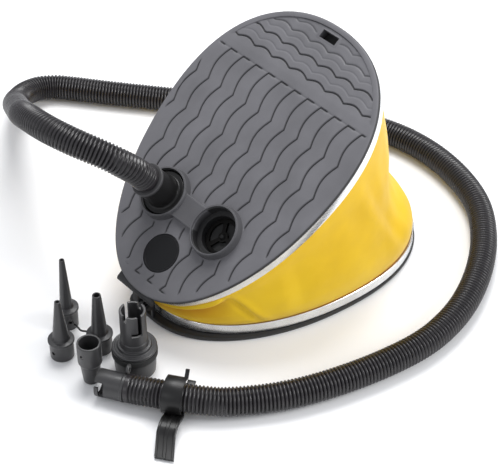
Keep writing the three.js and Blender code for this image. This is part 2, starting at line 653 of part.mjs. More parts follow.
const NOZZLES = [
  {
    name: 'needle_nozzle', at: [-46.5, -211.6], facing: -0.6,
    size: { cup: 10.2, flange: 11.2, cupHeight: 22, coneBase: 6.2, tip: 2.4, tipBore: 1.3, height: 79, wall: 1.7 },
  },
  {
    name: 'small_cone_nozzle', at: [-17.7, -238.8], facing: 0.05,
    size: { cup: 11, flange: 12, cupHeight: 20, coneBase: 7.6, tip: 2.7, tipBore: 1.5, height: 65, wall: 1.7 },
  },
  {
    name: 'large_cone_nozzle', at: [-1.1, -208.1], facing: 1.8,
    size: { cup: 11, flange: 12, cupHeight: 20, coneBase: 7.4, tip: 3.9, tipBore: 2.7, height: 66, wall: 1.7 },
  },
];
for (const { name, at, facing, size } of NOZZLES) {
  const mesh = add(pump, name, fromSolid(nozzle(size)), nozzleGrey);
  mesh.position.set(at[0], at[1], 0);
  mesh.rotation.z = facing;
}

// Moulded strap that holds the needle nozzle and the large cone nozzle together.
const strapLine = new THREE.CatmullRomCurve3(toVectors([
  [-35.5, -211.5, 7], [-31, -212.5, 9.2], [-25, -212.5, 8], [-19, -211, 10], [-12.9, -209, 13],
]));
add(pump, 'nozzle_strap', along(strapLine, 0.8, 6, 8), connectorBlack);

const reducer = turnedRing([
  [6.2, 0], [7, 0], [9.2, 21], [10.9, 24], [10.9, 43.5], [10.2, 45.5], [8.6, 45.5], [8.4, 24], [7.2, 20],
], 18);
const reducerHole = disc(PEG_HOLE_RADIUS, 0, 14, 10).rotateX(Math.PI / 2).translate(0, 0, 38);
const reducerBody = toSolid(reducer).subtract(toSolid(reducerHole));
const reducerMesh = add(pump, 'reducer_adapter', fromSolid(reducerBody), nozzleGrey);
reducerMesh.position.set(24.5, -237.6, 0);
reducerMesh.rotation.z = 0.1;

// Valve adapter: an open cup, a flange and a tube slotted into four fingers, with a loose gasket.
const ADAPTER = {
  x: 38.7, y: -198.9, cup: 19, cupHeight: 17.8, neck: 14,
  flangeLow: 25.2, flange: 20.2, tube: 11.8, bore: 9.6,
  height: 70.5, slotWidth: 4,
};
const ADAPTER_SLOTS = [{ turn: -6, low: 47.4 }, { turn: -76, low: 64.5 }];
const ADAPTER_HOOK = { from: -46, to: -6, low: 47.4, high: 51.9 };
function makeValveAdapter() {
  const { cup, cupHeight, neck, flangeLow, flange, tube, bore, height, slotWidth } = ADAPTER;
  const body = turnedRing([
    [cup - 2, 0], [cup - 0.8, 0], [cup, cupHeight], [neck, cupHeight], [neck, flangeLow],
    [flange - 0.8, flangeLow], [flange, flangeLow + 0.8], [flange, flangeLow + 2.6],
    [flange - 1.2, flangeLow + 3.6], [neck + 1.4, flangeLow + 3.6],
    [neck + 1, 31], [tube + 1, 31], [tube + 0.6, 36], [tube, 36.5], [tube, height], [bore, height],
    [bore, cupHeight - 2], [cup - 2, cupHeight - 2],
  ], 24);
  let solid = toSolid(body);
  for (const { turn, low } of ADAPTER_SLOTS) {
    const slot = box([-tube - 2, -slotWidth / 2, low], [tube + 2, slotWidth / 2, height + 1]);
    solid = solid.subtract(toSolid(slot.rotateZ(THREE.MathUtils.degToRad(turn))));
  }
  return fromSolid(solid.subtract(toSolid(sector(ADAPTER_HOOK, bore - 2, tube + 2))));
}
const adapterMesh = add(pump, 'valve_adapter', makeValveAdapter(), nozzleGrey);
adapterMesh.position.set(ADAPTER.x, ADAPTER.y, 0);
const GASKET = { outer: 20.6, gap: 0.4 };
const gasket = sleeve(
  GASKET.outer, ADAPTER.neck + GAP, ADAPTER.cupHeight + GASKET.gap, ADAPTER.flangeLow - GASKET.gap, 24,
).translate(ADAPTER.x, ADAPTER.y, 0);
add(pump, 'adapter_gasket', gasket, flapRubber);

export default pump;
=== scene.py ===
import json
import math

import bmesh
import bpy
import numpy as np
from mathutils import Matrix, Vector
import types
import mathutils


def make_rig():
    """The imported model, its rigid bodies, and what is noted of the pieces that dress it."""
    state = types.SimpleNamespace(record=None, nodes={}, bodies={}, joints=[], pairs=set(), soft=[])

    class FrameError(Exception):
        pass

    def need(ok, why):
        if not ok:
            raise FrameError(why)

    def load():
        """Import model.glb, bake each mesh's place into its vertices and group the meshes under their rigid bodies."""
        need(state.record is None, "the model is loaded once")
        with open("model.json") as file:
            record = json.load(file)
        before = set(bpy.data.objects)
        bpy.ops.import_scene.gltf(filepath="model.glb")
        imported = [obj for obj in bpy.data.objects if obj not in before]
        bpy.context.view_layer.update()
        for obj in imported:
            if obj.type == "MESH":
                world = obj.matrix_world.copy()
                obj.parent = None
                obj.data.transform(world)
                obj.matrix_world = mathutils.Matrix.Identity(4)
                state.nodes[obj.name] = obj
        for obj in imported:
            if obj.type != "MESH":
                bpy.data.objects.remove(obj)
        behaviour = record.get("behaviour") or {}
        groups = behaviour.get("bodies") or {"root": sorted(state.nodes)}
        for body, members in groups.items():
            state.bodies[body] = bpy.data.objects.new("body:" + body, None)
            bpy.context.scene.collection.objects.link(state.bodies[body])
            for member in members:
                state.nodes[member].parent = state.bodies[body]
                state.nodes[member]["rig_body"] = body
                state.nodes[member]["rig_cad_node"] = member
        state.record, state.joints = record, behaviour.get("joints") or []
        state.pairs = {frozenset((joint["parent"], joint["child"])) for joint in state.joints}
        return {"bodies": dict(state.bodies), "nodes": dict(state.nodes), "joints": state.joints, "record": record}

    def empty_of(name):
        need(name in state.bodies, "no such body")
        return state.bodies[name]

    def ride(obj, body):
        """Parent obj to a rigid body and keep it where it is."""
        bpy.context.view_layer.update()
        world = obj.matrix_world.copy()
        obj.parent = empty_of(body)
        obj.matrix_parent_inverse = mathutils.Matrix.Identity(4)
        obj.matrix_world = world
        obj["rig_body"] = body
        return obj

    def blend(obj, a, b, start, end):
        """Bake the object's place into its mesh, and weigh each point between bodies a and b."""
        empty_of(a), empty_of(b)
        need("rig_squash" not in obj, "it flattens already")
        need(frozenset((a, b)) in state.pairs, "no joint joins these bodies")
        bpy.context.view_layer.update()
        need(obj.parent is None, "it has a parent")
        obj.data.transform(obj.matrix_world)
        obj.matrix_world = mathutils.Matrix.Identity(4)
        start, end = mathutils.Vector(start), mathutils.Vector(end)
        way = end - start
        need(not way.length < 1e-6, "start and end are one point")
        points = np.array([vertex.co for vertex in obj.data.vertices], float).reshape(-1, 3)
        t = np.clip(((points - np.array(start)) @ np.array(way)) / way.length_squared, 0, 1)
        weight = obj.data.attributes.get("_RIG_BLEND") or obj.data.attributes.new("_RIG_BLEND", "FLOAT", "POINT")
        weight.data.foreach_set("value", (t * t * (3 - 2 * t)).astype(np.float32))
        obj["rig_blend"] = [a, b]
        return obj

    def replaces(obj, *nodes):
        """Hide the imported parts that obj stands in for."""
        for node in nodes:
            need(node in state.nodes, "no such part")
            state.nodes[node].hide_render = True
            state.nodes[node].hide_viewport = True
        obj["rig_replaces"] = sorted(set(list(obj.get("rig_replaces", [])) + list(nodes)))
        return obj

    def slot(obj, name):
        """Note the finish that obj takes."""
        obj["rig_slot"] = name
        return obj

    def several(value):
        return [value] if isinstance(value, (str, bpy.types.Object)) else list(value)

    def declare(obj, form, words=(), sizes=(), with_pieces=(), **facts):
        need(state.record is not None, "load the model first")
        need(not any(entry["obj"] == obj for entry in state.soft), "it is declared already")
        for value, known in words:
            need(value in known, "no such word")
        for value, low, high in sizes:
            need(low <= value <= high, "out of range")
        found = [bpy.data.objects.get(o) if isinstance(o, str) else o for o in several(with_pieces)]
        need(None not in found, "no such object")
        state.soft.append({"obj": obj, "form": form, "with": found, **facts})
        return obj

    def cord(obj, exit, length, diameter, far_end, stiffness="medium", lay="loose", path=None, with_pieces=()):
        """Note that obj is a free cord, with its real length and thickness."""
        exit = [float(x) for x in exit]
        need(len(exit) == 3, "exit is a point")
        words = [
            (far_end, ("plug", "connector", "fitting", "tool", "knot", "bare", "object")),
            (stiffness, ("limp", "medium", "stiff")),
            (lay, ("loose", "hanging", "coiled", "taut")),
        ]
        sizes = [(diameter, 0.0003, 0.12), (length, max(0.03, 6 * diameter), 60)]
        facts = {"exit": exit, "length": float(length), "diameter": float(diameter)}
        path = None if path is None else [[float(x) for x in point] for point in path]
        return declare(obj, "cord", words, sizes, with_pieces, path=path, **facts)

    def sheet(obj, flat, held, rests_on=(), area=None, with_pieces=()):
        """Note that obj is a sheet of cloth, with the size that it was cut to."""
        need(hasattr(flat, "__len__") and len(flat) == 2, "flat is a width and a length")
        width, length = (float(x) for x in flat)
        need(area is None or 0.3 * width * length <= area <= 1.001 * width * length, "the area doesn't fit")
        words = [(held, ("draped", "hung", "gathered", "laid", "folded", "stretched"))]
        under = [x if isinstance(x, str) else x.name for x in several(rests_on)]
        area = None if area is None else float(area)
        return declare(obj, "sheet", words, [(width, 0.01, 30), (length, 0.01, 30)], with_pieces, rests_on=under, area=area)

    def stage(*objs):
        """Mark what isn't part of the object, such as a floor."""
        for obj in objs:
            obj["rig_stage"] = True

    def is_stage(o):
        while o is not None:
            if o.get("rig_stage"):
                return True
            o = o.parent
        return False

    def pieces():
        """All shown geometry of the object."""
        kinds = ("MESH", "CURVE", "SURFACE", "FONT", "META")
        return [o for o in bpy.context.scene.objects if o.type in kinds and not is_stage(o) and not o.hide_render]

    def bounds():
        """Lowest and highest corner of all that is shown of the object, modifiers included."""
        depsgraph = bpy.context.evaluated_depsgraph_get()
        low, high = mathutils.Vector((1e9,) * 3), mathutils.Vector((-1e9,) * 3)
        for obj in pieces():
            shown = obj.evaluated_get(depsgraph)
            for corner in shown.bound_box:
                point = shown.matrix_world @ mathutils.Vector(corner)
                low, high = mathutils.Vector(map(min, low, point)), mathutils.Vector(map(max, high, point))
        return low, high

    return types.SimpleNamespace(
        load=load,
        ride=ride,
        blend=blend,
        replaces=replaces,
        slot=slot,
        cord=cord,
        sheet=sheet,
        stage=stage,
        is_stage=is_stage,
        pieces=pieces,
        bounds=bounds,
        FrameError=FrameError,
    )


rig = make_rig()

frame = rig.load()
cad_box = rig.bounds()

# ------------------------------------------------------------------ driving dimensions
# Lengths are in millimetres here, and new_piece() turns them into metres. The cord's route is in
# metres. A plate's outline is an egg: a superellipse that is wider at its far end.

MM = 0.001
PLATE_WIDTH = 217
PEDAL_OVAL = {"length": 300, "middle": -1.5, "power": 2.19, "taper": 0.16}
BASE_OVAL = {"length": 290, "middle": 0, "power": 2.22, "taper": 0.128}
TRAY_OVAL = {**BASE_OVAL, "length": 296, "middle": -3}  # the tray stands out under the hinge
OUTLINE_STEPS = 192
ROUND_STEPS = 64

HINGE_Y = -158.5
HINGE_Z = 25.7
HINGE_MIDDLE = -4.5  # the hinge stands a little to the left of the middle line
HINGE_SETBACK = 8.5
OPEN_ANGLE = math.radians(36.7)
PEDAL_TOP = 20.8
TRAY_TOP_HINGE = 5
TRAY_TOP_FAR = 2.8
KNUCKLE_RADIUS = 6.5
PEDAL_KNUCKLE_HALF = 4
BASE_KNUCKLE_END = 7.5
KNUCKLE_FRONT = -147.2
KNUCKLE_BACK = -150.5
TONGUE_HALF = 7.5
TONGUE_FRONT = -138
LUG_HALF = 24
PIN_RADIUS = 2.2
GAP = 0.3

PORT_MIDDLE = -2.9
PORT_X = 35.9
PORT_Y = -66.3
PORT_RIM = 8
PORT_RADIUS = 24.6
BORE_RADIUS = 22
BORE_FLOOR = -4
THROAT_RADIUS = 18
LEDGE_TOP = -13.5
WELL_BOTTOM = -16
LEDGE_RADIUS = 16
SEAT_LOW = LEDGE_TOP + GAP
SEAT_HIGH = SEAT_LOW + 2.5
BADGE = Vector((-3, -111.5, 0))
BADGE_RADIUS = 18.6
SLOT_Y = 135.5

SPRING_ARM = 165
SPRING_RADIUS = 22
SPRING_WIRE = 1.6
SPRING_SEAT_INNER = 15
SPRING_SEAT_OUTER = 18
SPRING_TURNS = 5
SPRING_START = math.radians(-6.4)
SPRING_END = math.radians(40.9)

HOSE_RADIUS = 13
HOSE_PITCH = 3.4  # from rib to rib
RIB_DEPTH = 1.5
HOSE_ROUTE = [
    (-0.0388, -0.1191, 0.1272), (-0.0398, -0.1294, 0.141), (-0.0462, -0.1413, 0.1529),
    (-0.0576, -0.1516, 0.1609), (-0.0785, -0.1638, 0.1672), (-0.1031, -0.1718, 0.1697),
    (-0.1228, -0.1723, 0.167), (-0.1446, -0.1682, 0.1595), (-0.1722, -0.1574, 0.1428),
    (-0.202, -0.1415, 0.1205), (-0.233, -0.1245, 0.0975), (-0.263, -0.108, 0.0755),
    (-0.291, -0.0925, 0.0545), (-0.316, -0.078, 0.0365), (-0.3345, -0.0625, 0.024),
    (-0.3455, -0.0455, 0.0178), (-0.347, -0.028, 0.015), (-0.3405, -0.013, 0.0136),
    (-0.327, -0.0005, 0.0132), (-0.2965, 0.023, 0.0132), (-0.254, 0.057, 0.0132),
    (-0.2, 0.101, 0.0132), (-0.146, 0.143, 0.0132), (-0.095, 0.18, 0.0132),
    (-0.046, 0.203, 0.0132), (0.002, 0.21, 0.0132), (0.05, 0.204, 0.0132),
    (0.095, 0.186, 0.0132), (0.132, 0.155, 0.0132), (0.162, 0.116, 0.0132),
    (0.184, 0.072, 0.0132), (0.194, 0.033, 0.0132), (0.1955, -0.003, 0.0132),
    (0.184, -0.068, 0.0132), (0.163, -0.127, 0.0132), (0.134, -0.174, 0.0138),
    (0.1185, -0.1905, 0.0152), (0.102, -0.204, 0.0158), (0.085, -0.2156, 0.015),
    (0.065, -0.228, 0.0134),
]
BLEND_POINT = 13  # the route's point from which the hose no longer follows the pedal


# ------------------------------------------------------------------ camera and light

def add_object(name, data):
    made = bpy.data.objects.new(name, data)
    bpy.context.scene.collection.objects.link(made)
    return made


def make_camera():
    camera = add_object("camera", bpy.data.cameras.new("camera"))
    bpy.context.scene.camera = camera
    camera.data.lens = 119.0
    camera.data.sensor_width = 36.0
    camera.location = (0.8903, -0.8054, 1.0632)
    aim = Vector((0.022, -0.0485, 0.060)) - camera.location
    camera.rotation_euler = aim.to_track_quat("-Z", "Y").to_euler()


def make_light(name, location, size, power):
    """White disk light that faces the middle of the floor."""
    lamp = bpy.data.lights.new(name, "AREA")
    lamp.shape = "DISK"
    lamp.size = size
    lamp.energy = power
    light = add_object(name, lamp)
    light.location = location
    light.rotation_euler = (-Vector(location)).to_track_quat("-Z", "Y").to_euler()


def make_studio():
    world = bpy.data.worlds.new("studio")
    world.use_nodes = True
    sky = world.node_tree.nodes["Background"]
    sky.inputs["Color"].default_value = (0.93, 0.95, 1.0, 1)
    sky.inputs["Strength"].default_value = 0.72
    bpy.context.scene.world = world
    make_light("key_light", (-0.6, 0.5, 1.9), 1.2, 32)
    make_light("side_light", (1.5, 1.1, 1.2), 0.9, 24)
    make_light("front_light", (0.3, -1.9, 1.1), 0.8, 2)
    bpy.context.scene.view_settings.view_transform = "Standard"


# ------------------------------------------------------------------ shape helpers

TILT = Matrix.Rotation(OPEN_ANGLE, 4, "X")
PEDAL = (Matrix.Translation((0, HINGE_Y, HINGE_Z)) @ TILT
         @ Matrix.Translation((0, PEDAL_OVAL["length"] / 2 + HINGE_SETBACK, PEDAL_TOP)))


def tray_top(y):
    along = y / BASE_OVAL["length"] + 0.5
    return TRAY_TOP_HINGE + (TRAY_TOP_FAR - TRAY_TOP_HINGE) * along


def in_place(point):
    return point


def on_tray(point):
    return Vector((point.x, point.y, point.z + tray_top(point.y)))


def on_pedal(point):
    return PEDAL @ point


def moved_to(x, y, z=0.0, turn=0.0):
    """Places a shape at a point, turned by some degrees about Z."""
    matrix = Matrix.Translation((x, y, z)) @ Matrix.Rotation(math.radians(turn), 4, "Z")
    return lambda point: matrix @ point


def port_centre(side):
    """Middle of a port on the pedal's top: the hose's port is at -1 and the open one at 1."""
    return Vector((PORT_MIDDLE + side * PORT_X, PORT_Y, 0))


def at_port(side):
    return lambda point: PEDAL @ (point + port_centre(side))


def new_piece(name, points, faces, place=in_place):
    """Object from points in millimetres, put in place and turned into metres."""
    mesh = bpy.data.meshes.new(name)
    mesh.from_pydata([MM * place(Vector(p)) for p in points], [], faces)
    tidy = bmesh.new()
    tidy.from_mesh(mesh)
    bmesh.ops.remove_doubles(tidy, verts=tidy.verts, dist=1e-6)
    bmesh.ops.recalc_face_normals(tidy, faces=tidy.faces)
    tidy.to_mesh(mesh)
    tidy.free()
    return add_object(name, mesh)


def lofted(name, rings, loop=False, place=in_place):
    """Skin over rings of equally many points. A loop joins the last ring to the first."""
    count = len(rings[0])
    points = [p for ring in rings for p in ring]
    faces = []
    for row in range(len(rings) if loop else len(rings) - 1):
        a, b = row * count, (row + 1) % len(rings) * count
        for i in range(count):
            j = (i + 1) % count
            faces.append((a + i, a + j, b + j, b + i))
    if not loop:
        faces.append(tuple(reversed(range(count))))
        faces.append(tuple(range(len(points) - count, len(points))))
    return new_piece(name, points, faces, place)


def rounded(profile, radius, ring):
    """The profile with its corners rounded off. A ring's last point joins its first."""
    points = [Vector(p) for p in profile]
    result = []
    for i, corner in enumerate(points):
        if not ring and i in (0, len(points) - 1):
            result.append(tuple(corner))
            continue
        before, after = points[i - 1], points[(i + 1) % len(points)]
        back, forth = before - corner, after - corner
        reach = min(radius, 0.45 * back.length, 0.45 * forth.length)
        start, end = corner + back.normalized() * reach, corner + forth.normalized() * reach
        for t in (0, 1 / 3, 2 / 3, 1):
            result.append(tuple(start * (1 - t) ** 2 + corner * 2 * t * (1 - t) + end * t * t))
    return result


def lathe(name, profile, ring=False, place=in_place, steps=ROUND_STEPS, radius=0.5):
    """Body turned about Z from (radius, height) points, with its corners rounded off."""
    rings = []
    for r, z in rounded(profile, radius, ring):
        turns = [2 * math.pi * i / steps for i in range(steps)]
        rings.append([(r * math.cos(a), r * math.sin(a), z) for a in turns])
    return lofted(name, rings, ring, place)


def rod(name, reach, low, high, **options):
    """Plain round bar along Z."""
    return lathe(name, [(0, low), (reach, low), (reach, high), (0, high)], **options)


def arc(radius, start, end, steps, centre=(0, 0)):
    """Points of a circle, evenly spaced between two angles in degrees."""
    turns = [math.radians(start + (end - start) * i / steps) for i in range(steps + 1)]
    return [(centre[0] + radius * math.cos(a), centre[1] + radius * math.sin(a)) for a in turns]


def signed_power(value, power):
    return math.copysign(abs(value) ** power, value)


def on_outline(angle, inset, oval):
    half, power = oval["length"] / 2, oval["power"]
    along = (half - inset) * signed_power(math.sin(angle), 2 / power)
    widening = 1 + oval["taper"] * along / half
    across = (PLATE_WIDTH / 2 - inset) * signed_power(math.cos(angle), 2 / power)
    return across * widening, oval["middle"] + along


OUTLINE_ANGLES = [2 * math.pi * i / OUTLINE_STEPS for i in range(OUTLINE_STEPS)]


def outlined(name, profile, oval, ring=False, place=in_place):
    """Body round a plate's outline from (inset, height) points. An inset of None is the centre."""
    rings = []
    for inset, z in profile:
        if inset is None:
            rings.append([(0, 0, z)] * OUTLINE_STEPS)
        else:
            rings.append([(*on_outline(a, inset, oval), z) for a in OUTLINE_ANGLES])
    return lofted(name, rings, ring, place)


def prism(name, outline, low, high, bevel=0.0, place=in_place):
    """Outline in XY, extruded along Z from low to high, with its edges bevelled."""
    count = len(outline)
    points = [(x, y, z) for z in (low, high) for x, y in outline]
    faces = [tuple(range(count)), tuple(range(count, 2 * count))]
    faces += [(i, (i + 1) % count, count + (i + 1) % count, count + i) for i in range(count)]
    piece = new_piece(name, points, faces, place)
    if bevel:
        shape = bmesh.new()
        shape.from_mesh(piece.data)
        sharp = [e for e in shape.edges if e.calc_face_angle(0) > math.radians(25)]
        bmesh.ops.bevel(shape, geom=sharp, offset=bevel * MM, segments=2, profile=0.5,
                        affect="EDGES", clamp_overlap=True)
        shape.to_mesh(piece.data)
        shape.free()
    return piece


def rectangle(x0, x1, y0, y1):
    return [(x0, y0), (x1, y0), (x1, y1), (x0, y1)]


def across(point):
    """Places a prism whose outline is in YZ and whose depth is along X."""
    return Vector((point.z, point.x, point.y))


def apply_modifiers(piece):
    graph = bpy.context.evaluated_depsgraph_get()
    mesh = bpy.data.meshes.new_from_object(piece.evaluated_get(graph))
    piece.modifiers.clear()
    piece.data = mesh


def join(piece, others, operation="UNION"):
    """Adds the others to the piece, or cuts them from it, and removes them."""
    for other in others:
        modifier = piece.modifiers.new("join", "BOOLEAN")
        modifier.object = other
        modifier.operation = operation
        modifier.solver = "MANIFOLD"
        apply_modifiers(piece)
        bpy.data.objects.remove(other)


def put(piece, matrix):
    """Moves a piece that was made at the origin to its place. The matrix is in millimetres."""
    piece.data.transform(Matrix.Scale(MM, 4) @ matrix @ Matrix.Scale(1 / MM, 4))


def paint_shade(piece, painted_shade):
    """Paints shade on the piece: gives each point the share of its colour that it keeps, from a function of its points
    in mm.
    """
    points = np.array([v.co for v in piece.data.vertices]) / MM
    # the attribute holds painted shade: 1 keeps the colour, lower values darken it as shade would
    layer = piece.data.attributes.new("painted_shade", "FLOAT", "POINT")
    layer.data.foreach_set("value", np.asarray(painted_shade(points), np.float32))


def finish_piece(piece, surface, body, slot, *replaced, sharp=35):
    """Shades the piece, gives it its material and ties it to its body and its CAD nodes."""
    piece.data.materials.clear()
    piece.data.materials.append(surface)
    piece.data.polygons.foreach_set("use_smooth", [True] * len(piece.data.polygons))
    piece.data.set_sharp_from_angle(angle=math.radians(sharp))
    if body:
        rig.ride(piece, body)
    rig.slot(piece, slot)
    if replaced:
        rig.replaces(piece, *replaced)
    return piece


# ------------------------------------------------------------------ materials

def set_sockets(owner, values):
    for socket, value in values.items():
        owner.inputs[socket].default_value = value


def new_material(name, values):
    material = bpy.data.materials.new(name)
    material.use_nodes = True
    shader = material.node_tree.nodes["Principled BSDF"]
    set_sockets(shader, values)
    return material, shader


def node(material, kind, values=None, **settings):
    """New node with its settings and its sockets' values."""
    made = material.node_tree.nodes.new(kind)
    for key, value in settings.items():
        setattr(made, key, value)
    set_sockets(made, values or {})
    return made


def place_noise(material, scale, detail=4.0, stretch=None):
    """Noise laid out in the piece's own place, in metres."""
    links = material.node_tree.links
    source = node(material, "ShaderNodeTexCoord").outputs["Object"]
    noise = node(material, "ShaderNodeTexNoise", {"Scale": scale, "Detail": detail})
    if stretch:
        mapping = node(material, "ShaderNodeMapping", {"Scale": stretch})
        links.new(source, mapping.inputs["Vector"])
        source = mapping.outputs["Vector"]
    links.new(source, noise.inputs["Vector"])
    return noise.outputs["Fac"]


def ramp(material, source, stops):
    """Colour ramp over the source, from (position, colour) stops."""
    made = node(material, "ShaderNodeValToRGB")
    elements = made.color_ramp.elements
    for element, (position, colour) in zip(elements, (stops[0], stops[-1])):
        element.position = position
        element.color = (*colour, 1)
    for position, colour in stops[1:-1]:
        elements.new(position).color = (*colour, 1)
    material.node_tree.links.new(source, made.inputs["Fac"])
    return made.outputs["Color"]


def value_ramp(material, source, low, high):
    """The source's middle half, turned into values from low to high."""
    made = node(material, "ShaderNodeMapRange",
                {"From Min": 0.25, "From Max": 0.75, "To Min": low, "To Max": high})
    material.node_tree.links.new(source, made.inputs["Value"])
    return made.outputs["Result"]


def bump(material, shader, source, strength, depth, under=None):
    links = material.node_tree.links
    made = node(material, "ShaderNodeBump", {"Strength": strength, "Distance": depth})
    links.new(source, made.inputs["Height"])
    if under:
        links.new(under, made.inputs["Normal"])
    links.new(made.outputs["Normal"], shader.inputs["Normal"])
    return made.outputs["Normal"]


def moulded(name, colour, roughness, grain=1800, depth=0.00012, variation=0.12, coat=0.0,
            specular=0.5):
    """Moulded plastic: a fine grain, slow changes of tone and uneven gloss."""
    material, shader = new_material(name, {"Coat Weight": coat, "Specular IOR Level": specular})
    links = material.node_tree.links
    cloud = place_noise(material, 28)
    dark, light = (tuple(c * change for c in colour) for change in (1 - variation, 1 + variation))
    links.new(ramp(material, cloud, [(0.3, dark), (0.7, light)]), shader.inputs["Base Color"])
    fine = place_noise(material, grain, 2.0)
    links.new(value_ramp(material, place_noise(material, 90), roughness - 0.06, roughness + 0.07),
              shader.inputs["Roughness"])
    bump(material, shader, fine, 0.35, depth)
    return material


def base_colour(material):
    return material.node_tree.nodes["Principled BSDF"].inputs["Base Color"]


def apply_painted_shade(material, tone, half=(0.5, 0.5, 0.5)):
    """Makes the tone, times the shade painted on the piece, the colour. half is what a painted shade of 0.5 leaves."""
    links = material.node_tree.links
    # painted shade: the attribute darkens the colour where the piece would lie in shade
    painted_shade = node(material, "ShaderNodeAttribute", attribute_name="painted_shade")
    left = ramp(material, painted_shade.outputs["Fac"], [(0, (0, 0, 0)), (0.5, half), (1, (1, 1, 1))])
    mixed = node(material, "ShaderNodeMix", {"Factor": 1.0},
                 data_type="RGBA", blend_type="MULTIPLY")
    links.new(tone, mixed.inputs["A"])
    links.new(left, mixed.inputs["B"])
    links.new(mixed.outputs["Result"], base_colour(material))


def moulded_with_painted_shade(name, colour, roughness, **options):
    """Moulded plastic whose colour is darkened by the shade painted on the piece."""
    material = moulded(name, colour, roughness, **options)
    apply_painted_shade(material, base_colour(material).links[0].from_socket)
    return material


def coated_fabric():
    """Woven nylon with a thin coating: plain weave, slow changes of tone, a soft sheen and painted shade."""
    material, shader = new_material("bellows_fabric", {
        "Roughness": 0.5, "Sheen Weight": 0.08, "Sheen Roughness": 0.4, "Specular IOR Level": 0.3})
    links = material.node_tree.links
    cloud = place_noise(material, 14, 5.0)
    stops = [(0.3, (0.67, 0.41, 0.006)), (0.5, (0.75, 0.475, 0.009)), (0.72, (0.83, 0.55, 0.016))]
    # painted shade at the hems and in the hinge-end tuck darkens the yellow to orange-brown, not grey
    apply_painted_shade(material, ramp(material, cloud, stops), half=(0.72, 0.46, 0.35))
    weave = node(material, "ShaderNodeUVMap", uv_map="cloth")
    heights = []
    for axis in ("X", "Y"):
        wave = node(material, "ShaderNodeTexWave", {"Scale": 260, "Distortion": 0.4},
                    wave_type="BANDS", bands_direction=axis)
        links.new(weave.outputs["UV"], wave.inputs["Vector"])
        heights.append(wave.outputs["Fac"])
    threads = node(material, "ShaderNodeMath", operation="MAXIMUM")
    links.new(heights[0], threads.inputs[0])
    links.new(heights[1], threads.inputs[1])
    soft = bump(material, shader, place_noise(material, 45, 3.0), 0.5, 0.0011)
    bump(material, shader, threads.outputs["Value"], 0.25, 0.0001, soft)
    return material


def bright_steel(name, colour, roughness, stretch):
    """Rolled steel: fine lines along the strip and faint cloudy patches."""
    material, shader = new_material(name, {"Metallic": 1.0})
    links = material.node_tree.links
    cloud = place_noise(material, 60, 3.0)
    dark = tuple(c * 0.86 for c in colour)
    links.new(ramp(material, cloud, [(0.35, dark), (0.65, colour)]), shader.inputs["Base Color"])
    lines = place_noise(material, 1.0, 2.0, stretch)
    links.new(value_ramp(material, lines, roughness - 0.06, roughness + 0.08),
              shader.inputs["Roughness"])
    bump(material, shader, lines, 0.15, 0.00005)
    return material


# the pedal's grey is darkened by the shade painted on the moulding
PEDAL_PLASTIC = moulded_with_painted_shade("pedal_plastic", (0.128, 0.126, 0.136), 0.6, grain=1500, depth=0.00016)
TRAY_PLASTIC = moulded("tray_plastic", (0.016, 0.016, 0.017), 0.42)
NOZZLE_PLASTIC = moulded("nozzle_plastic", (0.030, 0.0295, 0.0305), 0.4, coat=0.1)
CONNECTOR_PLASTIC = moulded("connector_plastic", (0.009, 0.0088, 0.0088), 0.34,
                            grain=1200, depth=0.00006, specular=0.32)
# painted highlight: lighter grey for the lit edge of the black barrel's collar
COLLAR_HIGHLIGHT_PLASTIC = moulded("collar_highlight_plastic", (0.045, 0.044, 0.046), 0.45)
BADGE_PLASTIC = moulded("badge_plastic", (0.008, 0.008, 0.009), 0.4, depth=0.00004, specular=0.2)
# painted shade: the seats' black is darker than the connector plastic they share, for the shade deep in the ports
SEAT_PLASTIC_IN_PAINTED_SHADE = moulded("seat_plastic_painted_shade", (0.006, 0.0055, 0.005), 0.6, specular=0.15)
# the hose's black is darkened by the shade painted in its rib valleys
HOSE_PLASTIC = moulded_with_painted_shade("hose_plastic", (0.0185, 0.0162, 0.0182), 0.3,
                      grain=900, depth=0.00008, variation=0.2)
FLAP_RUBBER = moulded("flap_rubber", (0.02, 0.02, 0.02), 0.8)
FOOT_RUBBER = moulded("foot_rubber", (0.012, 0.012, 0.012), 0.85)
FABRIC = coated_fabric()
STRIP_STEEL = bright_steel("strip_steel", (0.86, 0.87, 0.88), 0.24, (30, 30, 2600))
WIRE_STEEL = bright_steel("wire_steel", (0.55, 0.56, 0.58), 0.3, (900, 900, 900))
BLACK_STEEL = bright_steel("black_steel", (0.035, 0.035, 0.037), 0.4, (900, 900, 900))


# ------------------------------------------------------------------ hose

def hose_line(route, per_stretch=40):
    """Centripetal curve through the route's points, as points in metres and their route numbers."""
    route = np.array(route)
    padded = np.vstack([2 * route[0] - route[1], route, 2 * route[-1] - route[-2]])
    line, numbers = [], []
    for i in range(len(route) - 1):
        p0, p1, p2, p3 = padded[i:i + 4]
        d0, d1, d2 = (math.sqrt(np.linalg.norm(b - a)) for a, b in ((p0, p1), (p1, p2), (p2, p3)))
        leave = ((p1 - p0) / d0 - (p2 - p0) / (d0 + d1) + (p2 - p1) / d1) * d1
        arrive = ((p2 - p1) / d1 - (p3 - p1) / (d1 + d2) + (p3 - p2) / d2) * d1
        for t in np.arange(per_stretch) / per_stretch:
            square, cube = t * t, t ** 3
            line.append(p1 + leave * t + (3 * (p2 - p1) - 2 * leave - arrive) * square
                        + (2 * (p1 - p2) + leave + arrive) * cube)
            numbers.append(i + t)
    return np.vstack([line, route[-1]]), np.append(numbers, len(route) - 1.0)


def spaced(line, numbers, step):
    """The line again, in equal steps of about the given length, with the length up to each."""
    lengths = np.concatenate([[0], np.cumsum(np.linalg.norm(np.diff(line, axis=0), axis=1))])
    count = round(lengths[-1] / step)
    at = np.linspace(0, lengths[-1], count + 1)
    points = np.column_stack([np.interp(at, lengths, line[:, k]) for k in range(3)])
    return points, np.interp(at, lengths, numbers), at


